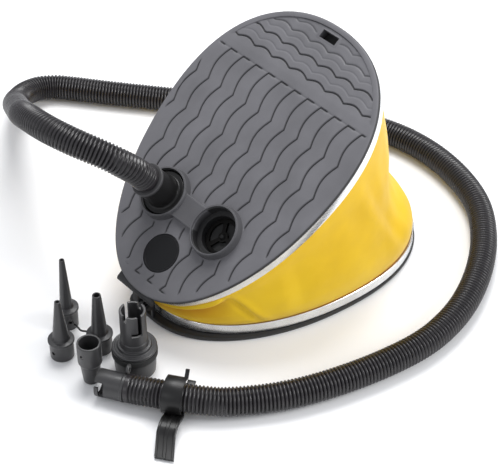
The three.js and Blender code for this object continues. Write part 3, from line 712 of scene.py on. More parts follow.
def tube(name, points, radii, sides):
    """Round bar along a line, whose section turns as little as possible from point to point."""
    tangents = np.gradient(points, axis=0)
    tangents /= np.linalg.norm(tangents, axis=1)[:, None]
    side = np.cross(tangents[0], (0.3, 0.2, 1.0))
    rings = []
    turns = 2 * np.pi * np.arange(sides) / sides
    for point, tangent, radius in zip(points, tangents, np.broadcast_to(radii, len(points))):
        side = side - tangent * side.dot(tangent)
        side /= np.linalg.norm(side)
        up = np.cross(tangent, side)
        ring = point + radius * (np.outer(np.cos(turns), side) + np.outer(np.sin(turns), up))
        rings.append([tuple(p) for p in ring])
    return lofted(name, rings)


def smooth_step(value, low, high):
    t = np.clip((np.asarray(value, float) - low) / (high - low), 0, 1)
    return t * t * (3 - 2 * t)


def bend_with_pedal(piece, weights):
    """Lets the piece follow the base where its weight is 0 and the pedal where it is 1."""
    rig.blend(piece, "base", "pedal", start=(0, 0, 0), end=(0, 0, 1))
    piece.data.attributes["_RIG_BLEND"].data.foreach_set("value", np.asarray(weights, np.float32))


def make_hose():
    """The hose, its middle line in metres and the line's length."""
    rows_per_rib, sides = 6, 24
    line, numbers, at = spaced(*hose_line(HOSE_ROUTE), HOSE_PITCH * MM / rows_per_rib)
    phase = 2 * np.pi * at / (HOSE_PITCH * MM)
    valley = (0.5 - 0.5 * np.cos(phase)) ** 1.6
    cuff = smooth_step(np.minimum(at, at[-1] - at), 0.002, 0.005)
    hose = tube("corrugated_hose", line / MM, HOSE_RADIUS - RIB_DEPTH * valley * cuff, sides)
    # painted shade: the valleys between the ribs are darker, as if in shade
    paint_shade(hose, lambda points: np.repeat(1 - 0.75 * valley * cuff, sides))
    finish_piece(hose, HOSE_PLASTIC, None, "hose_black", "hose_lead", "hose_run", sharp=75)
    near = np.array([v.co for v in hose.data.vertices])
    order = np.array([np.argmin(((line[::rows_per_rib] - p) ** 2).sum(axis=1)) for p in near])
    share = smooth_step(numbers[::rows_per_rib][order], 0.4, BLEND_POINT)
    bend_with_pedal(hose, 1 - share)
    return hose, line, at[-1]


make_camera()
make_studio()
HOSE, HOSE_LINE, HOSE_LENGTH = make_hose()


# ------------------------------------------------------------------ base

UPSTAND_OUTER = 5.1


def spring_seat(low, high, y, steps=ROUND_STEPS):
    """Ring that holds one end of the return spring."""
    inner, outer = SPRING_SEAT_INNER, SPRING_SEAT_OUTER
    return lathe("spring_seat", [(outer, low), (outer, high), (inner, high), (inner, low)],
                 ring=True, place=moved_to(0, y), steps=steps)


def across_hinge(half):
    return HINGE_MIDDLE - half, HINGE_MIDDLE + half


def pin_hole(y, z):
    """Cutter for the hinge pin's hole, along X."""
    return rod("pin_hole", PIN_RADIUS + GAP, -40, 40, steps=32,
               place=lambda p: Vector((p.z, p.y + y, p.x + z)))


def make_tray():
    """Tray: a thin lip, the clamping wall, a tongue and the hinge's outer knuckles."""
    def with_height(point):
        return Vector((point.x, point.y, point.z * tray_top(point.y)))

    tray = outlined("black_tray", [
        (None, 0), (2.2, 0), (0.4, 0.1), (0, 0.3), (0, 0.8), (0.25, 0.94), (0.8, 1), (None, 1),
    ], TRAY_OVAL, place=with_height)
    wall = outlined("tray_wall", [(UPSTAND_OUTER, -1), (UPSTAND_OUTER, 9.5), (8.1, 9.5), (8.1, -1)],
                    BASE_OVAL, ring=True, place=on_tray)
    tongue = rectangle(*across_hinge(TONGUE_HALF), KNUCKLE_BACK, TONGUE_FRONT)
    parts = [wall, spring_seat(2, 9, HINGE_Y + SPRING_ARM),
             prism("tray_tongue", tongue, 0.01, TRAY_TOP_HINGE - 0.5, bevel=0.6)]
    for side in (-1, 1):
        low, high = sorted((side * (PEDAL_KNUCKLE_HALF + GAP), side * BASE_KNUCKLE_END))
        parts.append(prism("tray_knuckle", knuckle_outline(), HINGE_MIDDLE + low,
                           HINGE_MIDDLE + high, bevel=0.5, place=across))
    join(tray, parts)
    join(tray, [pin_hole(HINGE_Y, HINGE_Z)], "DIFFERENCE")
    finish_piece(tray, TRAY_PLASTIC, "base", "tray_black", "base_tray")


def knuckle_outline():
    """Side view of an outer knuckle in YZ: a post with a round top about the hinge axis."""
    foot = 0.02
    top = arc(KNUCKLE_RADIUS, 215, 35, 18, (HINGE_Y, HINGE_Z))
    return [(KNUCKLE_BACK, foot), (KNUCKLE_BACK, 14), (HINGE_Y - 3.2, HINGE_Z - 5.6), *top,
            (KNUCKLE_FRONT, 19), (KNUCKLE_FRONT, foot)]


def make_band(name, low, high, inset, oval, place, body, replaced):
    """Steel strip round a plate, with rolled edges."""
    profile = [(inset + 0.35, low), (inset, low + 0.4), (inset + 0.12, low + 1.4),
               (inset + 0.12, high - 1.4), (inset, high - 0.4), (inset + 0.35, high),
               (inset + 1.2, high), (inset + 1.2, low)]
    band = outlined(name, profile, oval, ring=True, place=place)
    finish_piece(band, STRIP_STEEL, body, "galvanised_steel", replaced)


BASE_BAND = (0.6, 10.6)
PEDAL_BAND = (-17.2, -6.3)
make_tray()
make_band("base_clamp_band", *BASE_BAND, 1.5, BASE_OVAL, on_tray, "base", "base_band")
make_band("pedal_clamp_band", *PEDAL_BAND, 2.6, PEDAL_OVAL, on_pedal, "pedal", "pedal_band")


# ------------------------------------------------------------------ bellows and return spring

def hinge_angle(point):
    """Angle about the hinge axis, in radians, of points in millimetres."""
    return np.arctan2(point[..., 2] - HINGE_Z, point[..., 1] - HINGE_Y)


FABRIC_INSET = 3.2  # at the base
FABRIC_PEDAL_INSET = 4.4
FABRIC_ROWS = 64
FABRIC_COLUMNS = 320
FABRIC_THICKNESS = 0.6
HEM = 6  # height of the cloth behind each band


def near_angle(angle, centre, width):
    """One at the given place round the base, in degrees, and falling to nothing away from it."""
    away = (math.degrees(angle) - centre + 180) % 360 - 180
    return math.exp(-(away / width) ** 2)


# How far the cloth stands out or in, in millimetres, at shares of its height: at the far end, on
# the sides and at the hinge end, where it has to fold over.
FAR_FOLDS = ((0, 0.06, 0.14, 0.24, 0.36, 0.46, 0.56, 0.72, 0.88, 1),
             (0, 3.5, 0, -8, -11.5, -10, -6.5, -3, -1, 0))
SIDE_FOLDS = ((0, 0.08, 0.2, 0.36, 0.5, 0.62, 0.76, 0.9, 1),
              (0, 3, 4.5, 3.5, 1.5, -0.5, -1.5, -0.5, 0))
HINGE_FOLDS = ((0, 0.08, 0.2, 0.4, 0.6, 0.74, 0.81, 0.88, 0.95, 1),
               (0, 2.5, 4, 2.5, -2, -4.5, 0.5, 4.4, 3.2, 0))
# Upright creases: place round the base in degrees, how far it leans, width in degrees, and depth.
CREASES = [(-33, -14, 1.6, -3.0), (-30, -14, 1.6, 2.0), (-24, 4, 3.0, 0.7), (-18, 5, 2.5, -0.8),
           (28, -14, 4, 2.4), (36, -16, 4, -2.6), (120, 10, 4, 2.0), (150, -8, 4, -1.8),
           (205, 6, 4, 1.6), (232, 4, 3, -2.4)]


def fold_depth(angle, t, height):
    """How far the cloth stands out, in millimetres, at an angle and at a share of its height."""
    far = float(smooth_step(math.sin(angle), 0.1, 0.85))
    hinge = float(smooth_step(-math.sin(angle), 0.66, 0.78))
    side = max(0.0, 1 - far - hinge)
    out = sum(share * np.interp(t, *folds) for share, folds in
              ((far, FAR_FOLDS), (side, SIDE_FOLDS), (hinge * min(1, height / 36), HINGE_FOLDS)))
    middle = math.sin(math.pi * t)
    ripple = 0.5 * math.sin(angle * 13 + 3 * t) + 0.3 * math.sin(angle * 29 - 4 * t + 1.3)
    out += ripple * middle * min(1, height / 120)
    for centre, lean, width, depth in CREASES:
        out += depth * near_angle(angle, centre + lean * t, width) * middle
    return float(out)


def softened(grid, passes):
    """The grid with each row's corners rounded off; its first and last two rows stay."""
    for _ in range(passes):
        inner = grid[:, 2:-2]
        inner[:] = 0.5 * inner + 0.25 * (grid[:, 1:-3] + grid[:, 3:-1])
    return grid


def cloth_column(angle):
    """Points up the cloth at an angle round the base, from hem to hem."""
    x, y = on_outline(angle, FABRIC_INSET, BASE_OVAL)
    low, low_hem = (on_tray(Vector((x, y, z))) for z in (BASE_BAND[1] - HEM, BASE_BAND[1]))
    x, y = on_outline(angle, FABRIC_PEDAL_INSET, PEDAL_OVAL)
    high_hem, high = (on_pedal(Vector((x, y, z))) for z in (PEDAL_BAND[0], PEDAL_BAND[0] + HEM))
    height = (high_hem - low_hem).length
    outward = Vector((math.cos(angle), math.sin(angle), 0))
    cloth = [low_hem.lerp(high_hem, t)
             + Matrix.Rotation(OPEN_ANGLE * t, 3, "X") @ outward * fold_depth(angle, t, height)
             for t in (row / FABRIC_ROWS for row in range(FABRIC_ROWS + 1))]
    return [tuple(p) for p in (low, *cloth, high)]


def cloth_painted_shade(rows):
    """Painted shade of each row and column of the cloth: darker hems by the bands, and a darker tuck under the fold at
    the hinge.
    """
    hems = np.ones(rows)
    # painted shade where the cloth goes in under the bands
    hems[[0, 1, -2, -1]] = 0.25
    hems[[2, -3]] = 0.7
    # painted shade in the tuck under the overhanging fold at the hinge end
    folded = smooth_step(-np.sin(2 * np.pi * np.arange(FABRIC_COLUMNS) / FABRIC_COLUMNS), 0.64, 0.9)
    tucked = np.interp(np.linspace(0, 1, rows),
                       (0, 0.25, 0.6, 0.76, 0.83, 1), (0, 0, 0.4, 0.62, 0, 0))
    return hems[:, None] * (1 - np.outer(tucked, folded))


def make_bellows():
    """Sleeve of cloth, clamped at both ends, that stretches between the base and the pedal."""
    steps = FABRIC_COLUMNS
    grid = softened(np.array([cloth_column(2 * math.pi * i / steps) for i in range(steps)]), 6)
    rows = grid.shape[1]
    points = [tuple(p) for p in grid.transpose(1, 0, 2).reshape(-1, 3)]
    faces = []
    for row in range(rows - 1):
        for i in range(steps):
            a, b = row * steps, row * steps + (i + 1) % steps
            faces.append((a + i, b, b + steps, a + steps + i))
    bellows = new_piece("bellows_skin", points, faces)
    layer = bellows.data.uv_layers.new(name="cloth")
    perimeter = sum(math.dist(grid[i, 1], grid[i - 1, 1]) for i in range(steps)) * MM
    tallest = max(math.dist(c[1], c[-2]) for c in grid) * MM
    for loop in bellows.data.loops:
        row, i = divmod(loop.vertex_index, steps)
        layer.data[loop.index].uv = (i / steps * perimeter, row / rows * tallest)
    thick = bellows.modifiers.new("thickness", "SOLIDIFY")
    thick.thickness = FABRIC_THICKNESS * MM
    thick.offset = -1
    apply_modifiers(bellows)
    # painted shade on the cloth
    paint_shade(bellows, lambda points: np.tile(cloth_painted_shade(rows).ravel(), 2))
    finish_piece(bellows, FABRIC, None, "yellow_fabric", "bellows", sharp=80)
    low_angle, high_angle = hinge_angle(grid[:, 1])[:, None], hinge_angle(grid[:, -2])[:, None]
    share = np.clip((hinge_angle(grid) - low_angle) / (high_angle - low_angle), 0, 1)
    share[:, 0], share[:, -1] = 0, 1
    bend_with_pedal(bellows, np.tile(share.T.reshape(-1), 2))
    area = sum(p.area for p in bellows.data.polygons) / 2
    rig.sheet(bellows, flat=(round(perimeter, 3), round(tallest, 3)), held="stretched",
             rests_on=["base_clamp_band", "pedal_clamp_band"], area=round(area, 4))


def make_spring():
    """Coil whose centre line is an arc about the hinge axis."""
    t = np.linspace(0, 1, SPRING_TURNS * 28 + 1)
    angle = SPRING_START + (SPRING_END - SPRING_START) * t
    arm = SPRING_ARM + SPRING_RADIUS * np.sin(2 * np.pi * SPRING_TURNS * t)
    line = np.column_stack([
        SPRING_RADIUS * np.cos(2 * np.pi * SPRING_TURNS * t),
        HINGE_Y + arm * np.cos(angle),
        HINGE_Z + arm * np.sin(angle),
    ])
    spring = tube("coil_spring", line, SPRING_WIRE, 10)
    finish_piece(spring, WIRE_STEEL, None, "spring_steel", "return_spring", sharp=60)
    places = np.array([v.co for v in spring.data.vertices]) / MM
    nearest = np.array([np.argmin(((line - p) ** 2).sum(axis=1)) for p in places])
    bend_with_pedal(spring, t[nearest])


make_bellows()
make_spring()


# ------------------------------------------------------------------ pedal

GROOVE_PITCH = 17.5
GROOVE_SHIFT = -3.5
GROOVE_COUNT = 12
GROOVE_TOP = 78  # the line of dashes where the long grooves end
HOOK_Y = -138.5  # the short lines near the hinge
RIM = 5.4  # width of the far half's raised rim
SCALLOP = 35  # length of one scallop of the long grooves
SCALLOP_BULGE = 4.5
CROSS_PITCH = 23.8  # length of one arch of the far half's lines
CROSS_START = 9.0
CROSS_BULGE = 3.6
# Place and depth of each line across the far half.
CROSS_LINES = [(92, 1.0), (100, 0.22), (108, 0.95), (116, 0.22), (123, 0.55), (133, 0.45)]
FLANK = (0.0, 0.5, 0.95, 1.5)  # places on a groove's side
FLANK_DEPTH = (1.0, 0.8, 0.3, 0.0)
GROOVE_DEPTH = 1.25
FAINT = 0.25  # depth of the line between two dashes, as a share of theirs


def beside(centres):
    """Places on both sides of the sunk lines that run at the given centres."""
    reaches = [side * reach for reach in FLANK for side in (-1, 1)]
    return {round(centre + reach, 3) for centre in centres for reach in reaches}


def groove_columns():
    """Places across the pedal: close together on each groove's sides, and even between them."""
    first = GROOVE_SHIFT - (GROOVE_COUNT + 1) / 2 * GROOVE_PITCH
    centres = [first + k * GROOVE_PITCH for k in range(GROOVE_COUNT + 3)]
    between = [FLANK[-1] + step * (GROOVE_PITCH - 2 * FLANK[-1]) / 7 for step in range(1, 7)]
    even = {round(centre + step, 3) for centre in centres for step in between}
    return sorted(beside(centres) | even), centres


def groove_rows():
    """Places along the pedal, kept clear of each other beside the lines that run across."""
    places = beside([GROOVE_TOP, HOOK_Y, *(y for y, _ in CROSS_LINES)])
    clear = sorted(places)
    near_half = [(GROOVE_TOP - step * SCALLOP / 20, 0.6) for step in range(-12, 132)]
    far_half = [(GROOVE_TOP + 1.0 + step, 0.7) for step in range(80)]
    for place, spare in near_half + far_half:
        if min(abs(place - other) for other in clear) > spare:
            places.add(round(place, 3))
    return sorted(places)


def away_from(centre, x, y):
    return np.hypot(x - centre.x, y - centre.y)


def outline_inset(x, y):
    """About how far in a point of the pedal is from its outline."""
    half_length, power = PEDAL_OVAL["length"] / 2, PEDAL_OVAL["power"]
    from_middle = y - PEDAL_OVAL["middle"]
    along = np.clip(from_middle / half_length, -1, 1)
    half_width = PLATE_WIDTH / 2 * (1 + PEDAL_OVAL["taper"] * along)
    level = (np.abs(x / half_width) ** power + np.abs(along) ** power) ** (1 / power)
    reach = np.hypot(x, from_middle) / np.maximum(level, 1e-6)
    return reach - np.hypot(x, from_middle)


def flank(distance):
    return np.interp(np.abs(distance), FLANK, FLANK_DEPTH)


def recess_floor(y):
    """Height of the far half's floor, which sinks slowly inside its rim."""
    return -0.55 * smooth_step(y, 86, 95) - 0.8 * smooth_step(y, 94, 142)


def groove_share(u, v, x, y, centres):
    """How deep the sunk lines are, from 0 to 1, at places on the pedal's top."""
    inset = outline_inset(x, y)
    margin = RIM + 4 * smooth_step(-y, 90, 145)
    inside = smooth_step(inset, margin, margin + 1)
    clear = np.ones_like(x)
    for centre, radius in ((port_centre(-1), PORT_RADIUS + 1.6), (port_centre(1), PORT_RADIUS + 1.6),
                           (BADGE, BADGE_RADIUS + 1.2)):
        clear *= smooth_step(away_from(centre, x, y), radius, radius + 1.2)
    clear[(np.abs(x - PORT_MIDDLE) < 16) & (np.abs(y - PORT_Y) < 14)] = 0
    lines, dashes, hooks, cross = (np.zeros_like(x) for _ in range(4))
    for centre in centres[1:-2]:
        lines = np.maximum(lines, flank(u - centre))
        start = smooth_step(u, centre - 0.6, centre - 0.1)
        dash = start * (1 - smooth_step(u, centre + 8.0, centre + 9.5))
        dashes = np.maximum(dashes, np.maximum(dash, FAINT) * flank(v - GROOVE_TOP))
        if abs(centre) < 36:
            hook = start * (1 - smooth_step(u, centre + 5.0, centre + 6.5))
            hooks = np.maximum(hooks, hook * flank(v - HOOK_Y))
    for place, depth in CROSS_LINES:
        cross = np.maximum(cross, depth * flank(v - place))
    lines[(v > GROOVE_TOP) | (v < HOOK_Y)] = 0
    dashes[np.abs(x) > 99] = 0
    sunk = np.maximum(np.maximum(lines * clear, cross) * inside, dashes * inside)
    sunk = np.maximum(sunk, hooks * clear * smooth_step(inset, 7.5, 8.5))
    sunk[(np.abs(x) < 15) & (y > SLOT_Y - 8)] = 0
    return sunk


def make_pedal_skin():
    """The pedal's top with its sunk lines, as the top of a thick block."""
    columns, centres = groove_columns()
    rows = groove_rows()
    u, v = np.meshgrid(np.array(columns), np.array(rows))
    scallop = -SCALLOP_BULGE * np.abs(np.sin(np.pi * (v - GROOVE_TOP) / SCALLOP))
    x = u + np.where(v < GROOVE_TOP, scallop, 0)
    arch = CROSS_BULGE * np.abs(np.sin(np.pi * (u - CROSS_START) / CROSS_PITCH))
    y = v + arch * smooth_step(v, GROOVE_TOP + 3, GROOVE_TOP + 12)
    z = recess_floor(y) - GROOVE_DEPTH * groove_share(u, v, x, y, centres)
    count = len(columns)
    top = [(float(a), float(b), float(c)) for a, b, c in zip(x.ravel(), y.ravel(), z.ravel())]
    size = len(top)
    faces = []
    for row in range(len(rows) - 1):
        for i in range(count - 1):
            a = row * count + i
            faces.append((a, a + 1, a + count + 1, a + count))
            faces.append((size + a, size + a + count, size + a + count + 1, size + a + 1))
    border = list(range(count))
    border += [row * count + count - 1 for row in range(1, len(rows))]
    border += [size - 1 - i for i in range(1, count)]
    border += [row * count for row in range(len(rows) - 2, 0, -1)]
    for a, b in zip(border, border[1:] + border[:1]):
        faces.append((a, size + a, size + b, b))
    return new_piece("pedal_top", top + [(a, b, -5.0) for a, b, _ in top], faces)


def pedal_painted_shade_and_dust(points):
    """Painted shade, and dust in the sunk lines: the sunk lines, the ports' insides, the plate's side and underside
    and its hinge end are darker; so are the port rings and the web.
    """
    x, y, z = points.T
    # painted shade: the plate grows darker towards the hinge end
    painted_shade = 1 - 0.14 * smooth_step(-y, 20, 150)
    # painted shade, with some dust: points below the local floor, in the sunk lines, are darker
    floor = np.where(outline_inset(x, y) > RIM + 0.2, recess_floor(y), 0)
    painted_shade = painted_shade * (1 - 0.78 * smooth_step(floor - z, 0.15, 0.95))
    # painted shade on the plate's side wall and underside
    painted_shade = np.where((z < -2.4) | ((z < -0.9) & (outline_inset(x, y) < 1.2)), 0.12, painted_shade)
    for side in (-1, 1):
        reach = away_from(port_centre(side), x, y)
        # painted shade deep inside the ports
        painted_shade = np.where((reach < BORE_RADIUS + 1.5) & (z < PORT_RIM - 0.6), 0.08, painted_shade)
        ring = (reach > BORE_RADIUS + 1.2) & (reach < PORT_RADIUS + 2) & (z > 0.2)
        painted_shade = np.where(ring, 0.45, painted_shade)
    web = (np.abs(x - PORT_MIDDLE) < 16.5) & (np.abs(y - PORT_Y) < 12.5) & (z > 0.3)
    return np.where(web, 0.6, painted_shade)


def port_parts(side):
    """A port's raised ring and well, and the cutter for its bore."""
    place = moved_to(*port_centre(side))
    body = lathe("port_body", [
        (0, WELL_BOTTOM), (BORE_RADIUS + 2, WELL_BOTTOM), (BORE_RADIUS + 2, -3),
        (PORT_RADIUS + 1.9, -3), (PORT_RADIUS + 1.2, 0.4), (PORT_RADIUS, PORT_RIM - 1),
        (PORT_RADIUS - 0.6, PORT_RIM), (0, PORT_RIM),
    ], place=place, radius=0.7, steps=96)
    bore = lathe("port_bore", [
        (0, WELL_BOTTOM - 1), (LEDGE_RADIUS, WELL_BOTTOM - 1), (LEDGE_RADIUS, LEDGE_TOP),
        (THROAT_RADIUS, LEDGE_TOP), (THROAT_RADIUS, BORE_FLOOR), (BORE_RADIUS, BORE_FLOOR),
        (BORE_RADIUS, PORT_RIM - 2.4), (BORE_RADIUS + 0.7, PORT_RIM - 2.2),
        (BORE_RADIUS + 0.9, PORT_RIM + 1), (0, PORT_RIM + 1),
    ], place=place, radius=0.4, steps=96)
    return body, bore


def make_pedal():
    pedal = make_pedal_skin()
    edge = [(None, -6), (2.6, -6), (2.6, -3.3), (0.5, -3.1), (0, -2.6), (0, -2.3), (0, -1.5),
            (0.1, -0.95), (0.4, -0.45), (0.9, -0.12), (1.5, 0.004), (3, 1.0), (None, 1.0)]
    join(pedal, [outlined("pedal_edge", edge, PEDAL_OVAL)], "INTERSECT")

    def rim_place(point):
        sunk = 0.35 * (1 - float(smooth_step(point.y, 86, 92)))
        return Vector((point.x, point.y, point.z - (sunk if point.z > -1 else 0)))

    rim = outlined("pedal_rim", [
        (0.06, -4), (0.06, -1.5), (0.16, -0.97), (0.45, -0.47), (0.95, -0.14), (1.6, -0.01),
        (RIM - 0.9, -0.01), (RIM - 0.3, -0.2), (RIM, -0.7), (RIM + 0.3, -4),
    ], PEDAL_OVAL, ring=True, place=rim_place)
    pad = prism("latch_pad", rectangle(-13, 13, SLOT_Y - 6, 141), -14.9, -1.15, bevel=0.5)
    skirt = outlined("skirt", [(6.6, -15), (6.6, -4), (9.6, -4), (9.6, -15)], PEDAL_OVAL, ring=True)
    web = prism("port_web", rectangle(PORT_MIDDLE - 16, PORT_MIDDLE + 16, PORT_Y - 12, PORT_Y + 12),
                -1, 5.4, bevel=0.9)
    lug = prism("hinge_lug", [
        (-138, -1.5), (-138, -5), (-149, -5), (-150.5, -9), (-155, -9), (-155, -3.5), (-153, -1.5),
    ], *across_hinge(LUG_HALF), bevel=0.7, place=across)
    axis_y, axis_z = -(PEDAL_OVAL["length"] / 2 + HINGE_SETBACK), -PEDAL_TOP
    arm = prism("hinge_arm", [
        *arc(KNUCKLE_RADIUS, 180, 360, 12, (axis_y, axis_z)),
        (axis_y + 7.5, -8), (axis_y + 3, -8), (axis_y - KNUCKLE_RADIUS, axis_z + 1),
    ], *across_hinge(PEDAL_KNUCKLE_HALF), bevel=0.5, place=across)
    seat = spring_seat(-11, -4, SPRING_ARM + axis_y, steps=48)
    ports = [port_parts(side) for side in (-1, 1)]
    join(pedal, [rim, pad, skirt, web, lug, arm, seat, *(body for body, _ in ports)])
    cuts = [bore for _, bore in ports]
    cuts.append(rod("badge_pocket", BADGE_RADIUS + GAP, -2, 1,
                    place=moved_to(BADGE.x, BADGE.y), radius=0.2, steps=96))
    cuts.append(prism("latch_slot", rectangle(-10, 10, SLOT_Y - 4, SLOT_Y + 4), -11.5, 1))
    cuts.append(pin_hole(axis_y, axis_z))
    join(pedal, cuts, "DIFFERENCE")
    # paints shade on the moulding
    paint_shade(pedal, pedal_painted_shade_and_dust)
    put(pedal, PEDAL)
    pedal.name = "pedal_moulding"
    finish_piece(pedal, PEDAL_PLASTIC, "pedal", "pedal_grey", "pedal_plate", sharp=32)


def make_badge():
    """Plain round badge with a raised border and a sunk ring."""
    r = BADGE_RADIUS
    badge = lathe("plain_badge", [
        (0, -1.7), (r, -1.7), (r, -0.5), (r - 0.4, -0.15), (r - 1.6, -0.15), (r - 2.0, -0.6),
        (0, -0.5),
    ], place=lambda p: PEDAL @ (p + BADGE), steps=96, radius=0.25)
    finish_piece(badge, BADGE_PLASTIC, "pedal", "badge_black", "badge_disc")


SPOKE_HALF = math.degrees(0.16)  # half of a spoke's angle at the ring
SPOKE_WIDENING = math.degrees(0.2)  # what is added to it at the hub


def make_seat(name, side, replaced):
    """Valve seat: a ring, three spokes and a hub."""
    inner, hub = 14, 5
    seat = rod(name, THROAT_RADIUS - GAP, SEAT_LOW, SEAT_HIGH, steps=72, radius=0.3)
    windows = []
    for spoke in (0, 120, 240):
        start, end = spoke + SPOKE_HALF, spoke + 120 - SPOKE_HALF
        far = arc(inner, start, end, 16)
        near = arc(hub, end - SPOKE_WIDENING, start + SPOKE_WIDENING, 10)
        windows.append(prism("window", far + near, SEAT_LOW - 1, SEAT_HIGH + 1))
    windows.append(rod("hub_hole", 1.8, -20, 0, steps=24, radius=0.1))
    join(seat, windows, "DIFFERENCE")
    put(seat, PEDAL @ Matrix.Translation(port_centre(side)))
    # the seat's colour carries painted shade for its place deep in the port
    finish_piece(seat, SEAT_PLASTIC_IN_PAINTED_SHADE, "pedal", "connector_black", replaced)


def make_connector():
    """Barrel in the left port, with a flange, and a collar at the hose painted pale as a highlight on its edge."""
    barrel = lathe("hose_barrel", [
        (11.5, BORE_FLOOR + GAP), (21.4, BORE_FLOOR + GAP), (21.4, 4.6), (20.4, 5.6), (16.6, 5.6),
        (15.3, 7.4), (15.0, 32.0), (14.6, 33), (11.5, 33),
    ], ring=True, place=at_port(-1), steps=96, radius=0.8)
    finish_piece(barrel, CONNECTOR_PLASTIC, "pump_connector", "connector_black", "pump_connector")
    # the collar is black plastic painted pale grey as a highlight
    edge = lathe("barrel_collar", [
        (11.5, 33.05), (15.9, 33.05), (16.1, 33.6), (16.1, 35.6), (15.6, 36.0), (11.5, 36.0),
    ], ring=True, place=at_port(-1), steps=96, radius=0.3)
    finish_piece(edge, COLLAR_HIGHLIGHT_PLASTIC, "pump_connector", "connector_black")


make_pedal()
make_badge()
make_seat("intake_valve_seat", 1, "intake_seat")
make_seat("outlet_valve_seat", -1, "outlet_seat")
make_connector()


# ------------------------------------------------------------------ hose end and clip

def frame_at(point, direction):
    """Matrix whose Z is the direction and whose Y is as near to straight up as it can be."""
    z = direction.normalized()
    x = Vector((0, 0, 1)).cross(z).normalized()
    matrix = Matrix((x, z.cross(x), z)).transposed().to_4x4()
    matrix.translation = point
    return matrix


END_PLACE = Vector((65, -228, HOSE_RADIUS + 0.2))
END_DIRECTION = Vector((-0.85, -0.527, 0))
END_OUTER = 12.6
END_INNER = 10.4
END_LENGTH = 27
EYELET_TURN = -35  # degrees from straight up, away from the near side
EYELET_OUT = 16.8


def round_sector(name, start, end, low, high, inner, outer):
    """Part of a wall between two angles from straight up, in degrees, for cutting slots."""
    shape = arc(outer, start, end, 8) + arc(inner, end, start, 8)
    return prism(name, [(y, x) for x, y in shape], low, high)


def make_end_connector():
    """Bayonet sleeve with two hooked slots, a collar and an eyelet."""
    sleeve = lathe("bayonet_sleeve", [
        (END_INNER, 1), (12.8, 1), (13.0, 1.4), (13.0, 3.6), (12.7, 4.1), (END_OUTER, 4.4),
        (END_OUTER, END_LENGTH), (END_INNER, END_LENGTH),
    ], ring=True, steps=80, radius=0.35)
    turn = math.radians(EYELET_TURN)
    ear = Vector((EYELET_OUT * math.sin(turn), EYELET_OUT * math.cos(turn), 0))
    join(sleeve, [rod("eyelet", 4.8, 1.02, 3.2, steps=48, place=moved_to(*ear), radius=0.5)])
    cuts = [rod("eyelet_hole", 2.2, 0, 5, steps=24, radius=0.1, place=moved_to(*ear)),
            rod("bore", END_INNER, 0, 30, steps=80, radius=0.1)]
    for start in (46, 226):
        for width, high in ((22, 28), (77, 23.4)):  # the slot's mouth and its hook
            cuts.append(round_sector("slot", start, start + width, 18.4, high,
                                     END_INNER - 2, END_OUTER + 2))
    join(sleeve, cuts, "DIFFERENCE")
    put(sleeve, frame_at(END_PLACE, END_DIRECTION))
    return finish_piece(sleeve, NOZZLE_PLASTIC, "base", "nozzle_grey", "hose_end_connector")


def curve_through(points, steps):
    """Smooth line through points in a plane."""
    line, _ = hose_line([(a, b, 0.0) for a, b in points], steps)
    return line[:, :2]


CLIP_INNER = 15.1
CLIP_OUTER = 17.1
CLIP_HALF = 9
CLIP_PLACE = Vector((102, -204, CLIP_OUTER + 0.2))
CLIP_DIRECTION = Vector((-0.822, -0.570, 0))
CLIP_GAP = (130, 181)  # degrees, counted from level and away from the pump
CLIP_TABS = [(130, 24.5, -9, -5.5), (181, 20.5, -13, -5.5)]  # angle, reach, place along the hose
CLIP_ARM_LINE = [(11.4, -11), (17, -9.5), (24, -6.6), (32, -6.2), (40, -9.5), (50, -12.6),
                 (60, -15.1)]
CLIP_ARM_SECTION = [
    (-1, -1.5), (1, -1.5), (1, 1.1), (0.94, 1.5), (0.78, 1.5), (0.72, 0.9), (0.2, 0.9), (0.14, 1.5),
    (-0.14, 1.5), (-0.2, 0.9), (-0.72, 0.9), (-0.78, 1.5), (-0.94, 1.5), (-1, 1.1),
]
CLIP_ARM_HALF = 8.5


def make_clip():
    """Clip: a split ring with two small tabs, and a long bent arm with raised edges and a rib."""
    start, end = CLIP_GAP[1] - 360, CLIP_GAP[0]
    ring = arc(CLIP_OUTER, start, end, 72) + arc(CLIP_INNER, end, start, 72)
    clip = prism("strap_clip", ring, -CLIP_HALF, CLIP_HALF, bevel=0.45)
    parts = [prism("clip_tab", rectangle(CLIP_INNER + 0.35, reach, -1.1, 1.1), low, high, bevel=0.4,
                   place=moved_to(0, 0, turn=angle)) for angle, reach, low, high in CLIP_TABS]
    line = curve_through(CLIP_ARM_LINE, 8)
    normals = np.gradient(line, axis=0)
    normals = np.column_stack([-normals[:, 1], normals[:, 0]])
    normals /= np.linalg.norm(normals, axis=1)[:, None]
    rings = []
    for (x, y), (nx, ny) in zip(line, normals):
        aside = -2.3 - 0.205 * max(0, x - 38)
        rings.append([(x + nx * out, y + ny * out, wide * CLIP_ARM_HALF + aside)
                      for wide, out in CLIP_ARM_SECTION])
    parts.append(lofted("clip_arm", rings))
    join(clip, parts)
    join(clip, [rod("clip_bore", CLIP_INNER - 0.02, -20, 20, steps=96, radius=0.1)], "DIFFERENCE")
    put(clip, frame_at(CLIP_PLACE, CLIP_DIRECTION))
    return finish_piece(clip, CONNECTOR_PLASTIC, "hose_clip", "connector_black", "hose_clip")


SLEEVE = make_end_connector()
CLIP = make_clip()


# ------------------------------------------------------------------ loose nozzles and adapters

def peg_hole(x, y, z, facing, reach=1.8):
    """Cutter for a round hole through the wall that faces the given way, in degrees."""
    place = moved_to(x, y, z, facing)
    return rod("peg_hole", reach, 0, 20, steps=24, radius=0.1,
               place=lambda p: place(Vector((p.z, p.y, p.x))))


